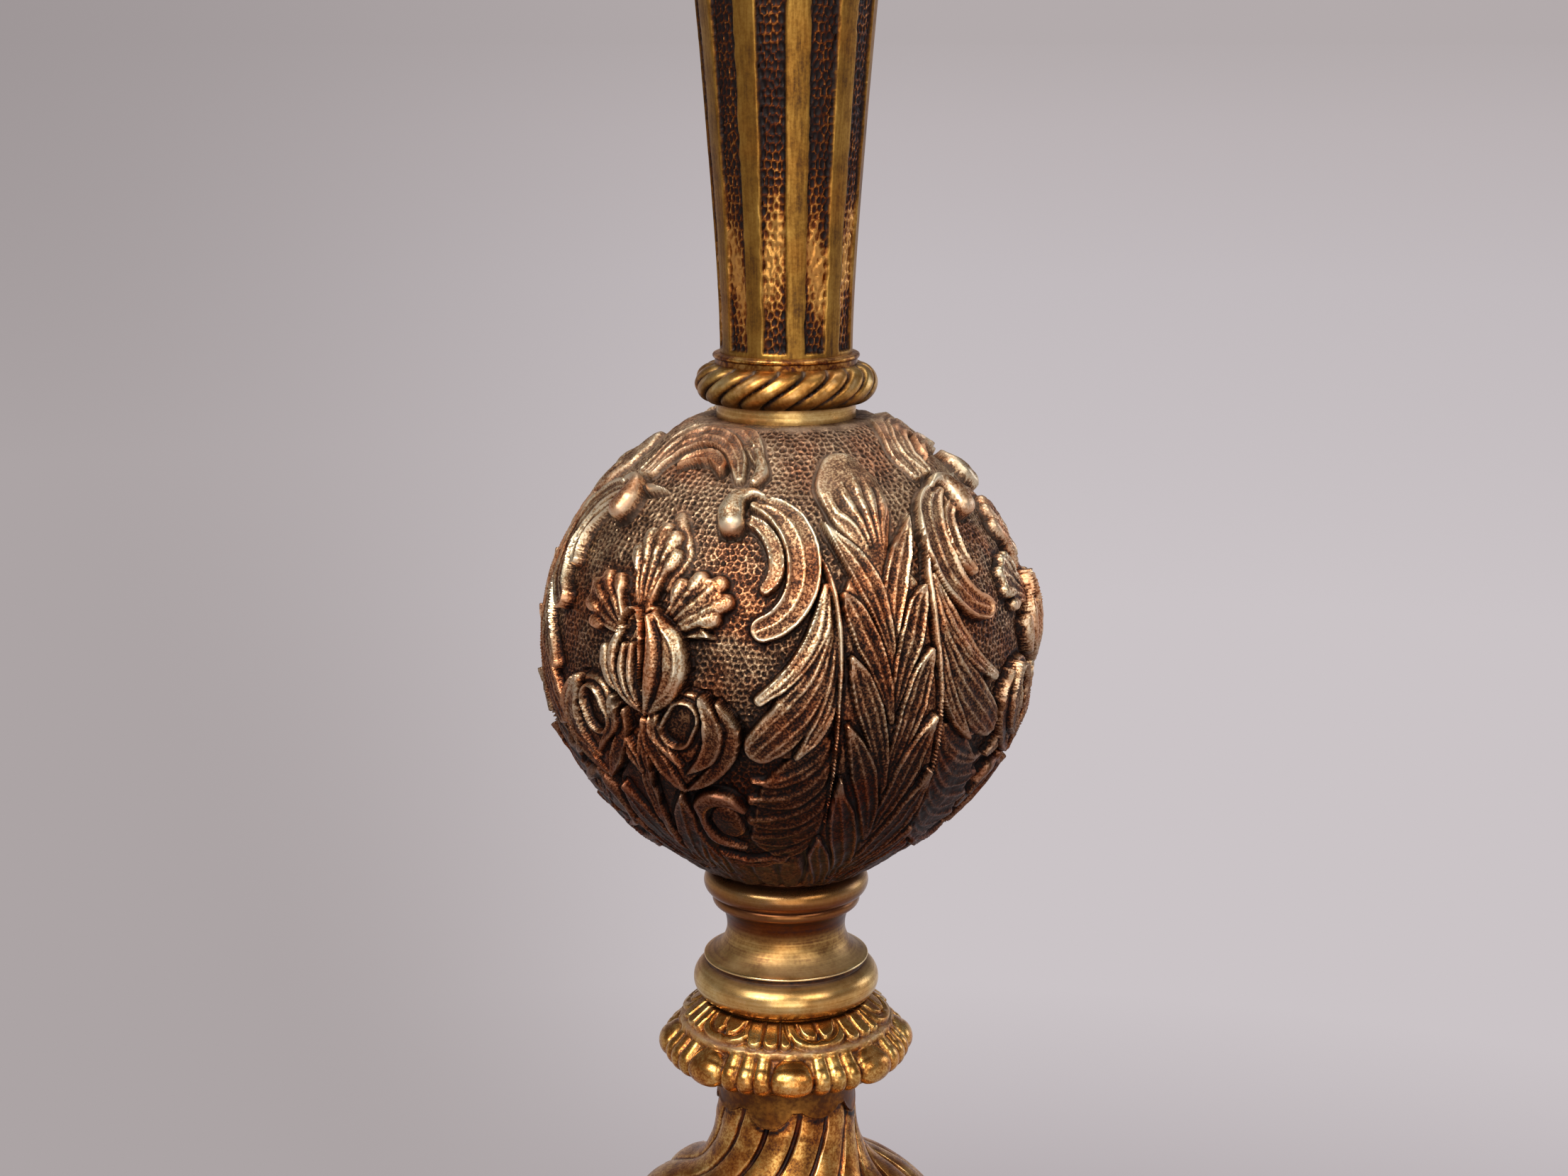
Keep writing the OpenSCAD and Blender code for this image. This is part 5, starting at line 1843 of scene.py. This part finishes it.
@dataclass
class DomedFoot:
    """Ogee foot, chased with leaves that fall from its neck over a punched ground."""

    base: float = 74.0
    height: float = 148.0
    leaves: int = 8
    columns: int = 576
    step: float = 2.0

    def build(self) -> Piece:
        """Builds the dome.

        Returns:
            The finished dome.
        """
        points = (curve((143, 0), (143, 26), (129, 40), (92, 50), 50)
                  + curve((92, 50), (60, 62), (35, 82), (31, 148), 60)[1:])
        outline = Outline(points, self.step)
        period = 360 / self.leaves
        chased = Relief(outline, period, self.columns // self.leaves)
        c = period / 2
        top, up = outline.length, outline.at
        strokes = [
            Lobe(((c, up(140)), (c, up(90)), (c, up(58)), (c, up(44))), (5, 8, 12, 3), (1.2, 2.0, 2.6, 3.0), ribs=3,
                 rim=1.6, edge=1.6),
            Lobe(((0, top - 3), (0, up(100)), (0, up(66)), (0, up(52)), (0, up(36))), (7, 11, 17, 20, 4),
                 (1.6, 2.6, 3.4, 3.8, 4.4), ribs=5, rim=1.8, edge=1.8, rib_lift=0.9),
        ]
        for side in (-1, 1):
            strokes += [
                Lobe(((c, up(8)), (c + side * 6, up(9)), (c + side * 12, up(16)), (c + side * 13, up(27)),
                      (c + side * 8.5, up(33)), (c + side * 5, up(28)), (c + side * 7, up(22))),
                     (2.4, 3.2, 3.8, 3.8, 3.2, 2.8, 2.6), (2.4, 3.0, 3.4), rim=1.4, edge=1.4),
                Lobe(((side * 1.5, up(8)), (side * 4, up(18)), (side * 8, up(24))), (2.2, 4.6, 1.4), (2.2, 3.0, 3.4),
                     ribs=1, rim=1.4, edge=1.4),
            ]
        strokes += [Lobe(((c, up(12)), (c, up(20)), (c, up(31))), (3.4, 5.0, 1.6), (2.6, 3.4, 3.4), ribs=2, rim=1.4,
                         edge=1.4),
                    Lobe(((0, up(9)), (0, up(18)), (0, up(30))), (3.4, 5.4, 2.0), (2.6, 3.6, 3.8), ribs=2, rim=1.4,
                         edge=1.4)]
        for lobe in strokes:
            chased.stamp(lobe)
        chased.punch(5.2, 0.7, 5, up(3), up(60))
        turn, lift, wear, cover = repeated(self.leaves, chased.lift, chased.wear(0.7, 2.0) - 0.1 * chased.pits,
                                           unit(chased.cover))
        dust = unit(outline.out_z[:, None] - 0.2) * unit(0.9 - wear) * 0.8
        r, z = outline.raised(lift)
        inner = (curve((27, 140), (31, 76), (56, 58), (88, 46), 8)
                 + curve((88, 46), (125, 36), (139, 22), (139, 0), 8)[1:])
        closing = register(self.base + self.height) + [(BORE, self.base + 140)]
        closing += [(a, b + self.base) for a, b in inner]
        skin = Skin(r, np.clip(z, 0, self.height) + self.base, turn, closing,
                    marked(wear, dust, 0.15, (1 - cover) * 0.6))
        return skin.build("dome_chased", "base_dome", "brass", PATINA)


@dataclass
class BeadedRing:
    """A turned ring with a row of beads or reeds on one of its mouldings."""

    name: str
    node: str
    slot: str
    base: float
    points: list[Point]
    closing: list[Point]
    count: int
    low: float
    high: float
    depth: float
    finish: AgedMetal
    columns_per_bead: int = 8
    step: float = 1.0
    body: str = "stand"

    def build(self) -> Piece:
        """Builds the ring.

        Returns:
            The finished ring.
        """
        outline = Outline(self.points, self.step)
        columns = self.count * self.columns_per_bead
        turn = np.arange(columns) * 360 / columns
        s = outline.s[:, None]
        zone = smooth((s - self.low) / 1.2) * smooth((self.high - s) / 1.2)
        phase = (turn[None, :] * self.count / 360) % 1
        plump = np.sqrt(unit(1 - np.abs(phase * 2 - 1) ** 2.2))
        lift = -self.depth * zone * (1 - plump)
        marks = plain_marks(outline, columns)
        marks["wear"] = unit(marks["wear"] - 0.55 * zone * (1 - plump) ** 2 + 0.08 * zone * plump)
        closing = [(a, b + self.base) for a, b in self.closing]
        skin = Skin(*outline.raised(lift, self.base), turn, closing, marks)
        return skin.build(self.name, self.node, self.slot, self.finish, 60, self.body)


def beaded_rings() -> list[BeadedRing]:
    """Lists the beaded and reeded rings of the foot and of the candle fittings.

    Returns:
        The rings, from the floor upwards.
    """
    border = ([(153, 0), (153, 2), (151, 2.6), (151, 3.2)] + arc(151, 7.8, 4.5, -80, 80, 16)
              + [(151, 12.4), (151, 13), (152.4, 13.6), (152.4, 15), (143.4, 16.6), (143, 18)])
    pan = ([(27, 0), (40, 0)] + curve((40, 0), (62, 0), (80, 2), (88, 9), 24) + arc(89.6, 11.6, 2.4, -60, 150, 14)
           + curve((86, 11.6), (78, 5.5), (62, 3.5), (44, 3.5), 24) + [(31, 3.5)] + arc(28.8, 8, 2, 0, 180, 10))
    pan_line = Outline(pan, 1.0)
    at = float(pan_line.s[np.argmax(pan_line.r)])
    cup = ([(23, 0), (23, 2)] + arc(23, 4.6, 1.4, -90, 90, 10) + [(22.4, 9), (22.4, 52)]
           + arc(22.6, 56, 1.6, -90, 90, 10) + [(23, 59), (22.2, 60)])
    cup_line = Outline(cup, 0.7)
    return [
        BeadedRing("border_beaded", "base_border", "gilt", 56.0, border, [(138, 18), (138, 0)], 72, 4.9, 18.2, 2.2,
                   POLISHED, step=1.3),
        BeadedRing("drip_pan_dished", "drip_pan", "brass", 1256.45, pan, [(25.8, 7)], 72, at - 4.0, at + 4.5, 0.9,
                   TURNED_BRASS, columns_per_bead=6, step=2.2, body="pan"),
        BeadedRing("candle_cup_reeded", "candle_cup", "gilt", 1256.4, cup,
                   [(19.6, 60), (19.6, 14), (6.1, 14), (6.1, 0)], 28, cup_line.at(10.0), cup_line.at(50.5), 0.5,
                   POLISHED, step=1.1),
    ]


@dataclass
class LeafCapital:
    """Turned capital, wrapped in two rows of curling leaves."""

    base: float = 1178.4
    height: float = 78.0
    leaves: int = 8
    columns: int = 384

    def build(self) -> Piece:
        """Builds the capital.

        Returns:
            The finished capital.
        """
        points = (arc(29, 4, 4, -90, 80, 12) + [(27, 9.4)] + curve((27, 9.4), (20, 22), (22, 40), (36, 54), 30)
                  + curve((36, 54), (42, 60), (46, 62), (46, 68), 16)[1:] + [(48, 69), (48, 73), (44, 74), (44, 78)])
        outline = Outline(points, 1.3)
        chased = Relief(outline, 360 / self.leaves, self.columns // self.leaves)
        c, up = 180 / self.leaves, outline.at
        for lobe in (
            Lobe(((c, up(12)), (c, up(34)), (c, up(52)), (c, up(62))), (3, 6, 9, 3), (0.8, 1.6, 2.6, 4.2), ribs=3,
                 rim=1.1),
            Lobe(((0, up(10)), (0, up(24)), (0, up(38)), (0, up(47))), (4, 6.4, 8.4, 3), (1.4, 2.2, 3.0, 5.0), ribs=3,
                 rim=1.1),
        ):
            chased.stamp(lobe)
        turn, lift, wear = repeated(self.leaves, chased.lift, chased.wear(0.5, 1.4))
        r, z = outline.raised(lift)
        socket = self.base + 66.5
        closing = [(18, self.base + self.height), (18, socket), (BORE, socket)] + recess(self.base)
        skin = Skin(r, np.clip(z, 0, self.height) + self.base, turn, closing,
                    marked(wear, shade=unit(-outline.out_z[:, None] - 0.2)))
        return skin.build("capital_leaved", "capital", "brass", RICH_GILT)


@dataclass
class BunFoot:
    """One of the three turned feet."""

    number: int
    angle: float
    circle: float = 128.0

    def build(self) -> Piece:
        """Turns the foot and moves it to its place.

        Returns:
            The finished foot.
        """
        outer = ([(0, 0), (11, 0)] + curve((11, 0), (24, 1), (26, 10), (23.5, 15), 20)
                 + curve((23.5, 15), (21, 20.5), (15, 21), (12, 22), 14)[1:] + arc(14, 24, 2.2, -90, 90, 10)
                 + [(13, 30), (0, 30)])
        outline = Outline(outer, 0.9)
        marks = plain_marks(outline, 1)
        side = math.radians(self.angle)
        name = f"bun_foot_{self.number}"
        mesh = spun(name, outline, marks, 64, place=(self.circle * math.cos(side), self.circle * math.sin(side)))
        piece = finished(name, mesh, TURNED_BRASS.material(), TURNED_CRISP)
        join(piece, "brass", "stand", f"foot_{self.number}")
        return piece


class Hardware:
    """The plinth and the steel and iron parts, whose CAD shapes stay."""

    def dress(self) -> None:
        """Gives each of them its finish."""
        steel = DullSteel("bright_steel", (168, 168, 166), (112, 106, 100))
        iron = DullSteel("cast_iron", (74, 70, 68), (48, 40, 36), 0.6, 0.7)
        chosen = {"ballast_plate": iron, "plinth": TURNED_BRASS}
        for name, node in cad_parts.items():
            if node.hide_render:
                continue
            finish = chosen.get(name, steel)
            node.data.materials.clear()
            node.data.materials.append(finish.material())
            log.info("%s: CAD shape, %s", name, finish.name)


# ---- studio


@dataclass
class Studio:
    """Pale floor, soft lamps and the camera."""

    # Floor colours: near is a painted pool of light, far and left are painted shade further off and to the left.
    near: Colour = (203, 196, 199)
    far: Colour = (179, 171, 172)
    left: Colour = (158, 150, 151)
    camera_place: Point3 = (-0.00077, -0.879, 0.9326)
    camera_tilt: float = 12.4
    lens: float = 57.45

    def floor_material(self) -> bpy.types.Material:
        """Makes a floor that keeps the shadow and shows pale grey, with painted light and shade: lightest some 1.5 to
        3.3 m away, darker nearer the stand, further off and to the left.

        Returns:
            The material.
        """
        n = Nodes("studio_floor")
        n.shader.inputs["Roughness"].default_value = 0.9
        away = n.add("VectorMath")
        away.operation = "LENGTH"
        n.link(n.place, away.inputs[0])
        distance = away.outputs["Value"]
        cloth = n.noise(300.0, 2.0)
        nearness = n.math("DIVIDE", 1.0, n.math("MAXIMUM", distance, 0.2))
        base = n.ramp(nearness, [(0.0, self.far), (0.04, (187, 179, 181)), (0.11, (194, 187, 190)), (0.3, self.near),
                                 (0.66, self.near), (0.95, (182, 174, 177))])
        apart = n.add("SeparateXYZ")
        n.link(n.place, apart.inputs[0])
        # Painted shade on the floor's left side.
        aside = n.math("MULTIPLY", apart.outputs["X"], nearness)
        base = n.mix(n.spread(aside, -0.34, 0.06, 1.0, 0.0), base,
                     n.ramp(nearness, [(0.0, self.left), (0.2, (172, 164, 165))]))
        n.link(n.mix(n.spread(cloth, 0.3, 0.7, 0.0, 0.03), base, (150, 142, 144)), n.shader.inputs["Base Color"])
        glow = n.add("Emission")
        n.link(base, glow.inputs["Color"])
        path = n.add("LightPath")
        seen = n.math("MAXIMUM", path.outputs["Is Camera Ray"],
                      n.math("MAXIMUM", path.outputs["Is Glossy Ray"], path.outputs["Is Transmission Ray"]))
        beyond = n.spread(distance, 0.35, 1.0, 0.0, 1.0)
        share = n.math("MULTIPLY", seen, beyond)
        mix = n.add("MixShader")
        n.link(share, mix.inputs[0])
        n.link(n.shader.outputs[0], mix.inputs[1])
        n.link(glow.outputs[0], mix.inputs[2])
        out = next(x for x in n.tree.nodes if x.type == "OUTPUT_MATERIAL")
        n.link(mix.outputs[0], out.inputs[0])
        return n.material

    def floor(self) -> None:
        """Lays the floor."""
        bm = bmesh.new()
        bmesh.ops.create_circle(bm, cap_ends=True, radius=400.0, segments=96)
        mesh = bpy.data.meshes.new("floor")
        bm.to_mesh(mesh)
        bm.free()
        mesh.materials.append(self.floor_material())
        placed("floor", mesh)

    def world(self) -> None:
        """Gives the room its plain grey."""
        world = bpy.data.worlds.new("studio")
        world.use_nodes = True
        n = Nodes("studio", world.node_tree)
        back = next(x for x in n.tree.nodes if x.type == "BACKGROUND")
        apart = n.add("SeparateXYZ")
        n.link(n.add("TexCoord").outputs["Generated"], apart.inputs[0])
        up, aside = apart.outputs["Z"], apart.outputs["X"]
        colour = n.ramp(up, [(0.0, self.far), (0.06, self.far), (0.24, (110, 104, 106)), (0.5, (94, 90, 91)),
                             (1.0, (134, 131, 132))])
        left = n.math("MULTIPLY", n.spread(aside, -0.34, 0.06, 1.0, 0.0), n.spread(up, 0.0, 0.3, 1.0, 0.0))
        n.link(n.mix(left, colour, self.left), back.inputs["Color"])
        back.inputs["Strength"].default_value = 1.0
        bpy.context.scene.world = world

    def lamp(self, name: str, place: Point3, size: float, power: float, colour: Colour = (255, 250, 244),
             aim: Point3 = (0, 0, 0.72)) -> None:
        """Hangs a soft lamp.

        Args:
            name: Name of the lamp.
            place: Where it hangs, in metres.
            size: Width of its square face, in metres.
            power: Its power in watts.
            colour: Its colour.
            aim: What it points at.
        """
        data = bpy.data.lights.new(name, "AREA")
        data.shape = "SQUARE"
        data.size = size
        data.energy = power
        data.color = linear(colour)[:3]
        lamp = placed(name, data)
        lamp.location = place
        toward = Vector(aim) - Vector(place)
        lamp.rotation_euler = toward.to_track_quat("-Z", "Y").to_euler()

    def camera(self) -> None:
        """Sets the camera where the photograph was taken from."""
        data = bpy.data.cameras.new("camera")
        data.lens = self.lens
        data.sensor_width = 36.0
        data.sensor_fit = "HORIZONTAL"
        data.clip_start = 0.01
        data.clip_end = 1000.0
        camera = placed("camera", data)
        camera.location = self.camera_place
        camera.rotation_euler = (math.radians(90 - self.camera_tilt), 0, 0)
        bpy.context.scene.camera = camera

    def build(self) -> None:
        """Builds the studio."""
        self.camera()
        self.floor()
        self.world()
        self.lamp("key_left", (-0.95, -1.6, 2.6), 1.7, 62)
        self.lamp("key_right", (1.3, -1.6, 2.3), 1.3, 15)
        self.lamp("front", (0.1, -2.6, 1.0), 2.0, 17)
        self.lamp("top", (0.2, 0.6, 2.8), 1.2, 13)
        self.lamp("rim_right", (1.9, 0.9, 1.2), 0.8, 4, (240, 242, 255))
        bpy.context.scene.view_settings.view_transform = "Standard"


def main() -> None:
    """Builds every piece, dresses the CAD parts and sets the studio."""
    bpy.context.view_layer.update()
    CarvedBall().build()
    RopeRing("rope_ring_twisted", "rope_ring", 32.4, 814.0, 19).build()
    RopeRing("upper_rope_twisted", "upper_rope_ring", 40.4, 1171.6, 22, per_strand=16, around=20).build()
    RopeRing("base_rope_twisted", "base_rope_ring", 35.4, 300.8, 19, per_strand=16, around=20).build()
    FlutedShaft().build()
    GadroonDisc().build()
    SpiralBulb().build()
    for section in plain_sections():
        section.build()
    LeafCup().build()
    DomedFoot().build()
    for ring in beaded_rings():
        ring.build()
    LeafCapital().build()
    for number, angle in ((1, 30), (2, 150), (3, 270)):
        BunFoot(number, angle).build()
    Hardware().dress()
    Studio().build()


if __name__ == "__main__":
    main()
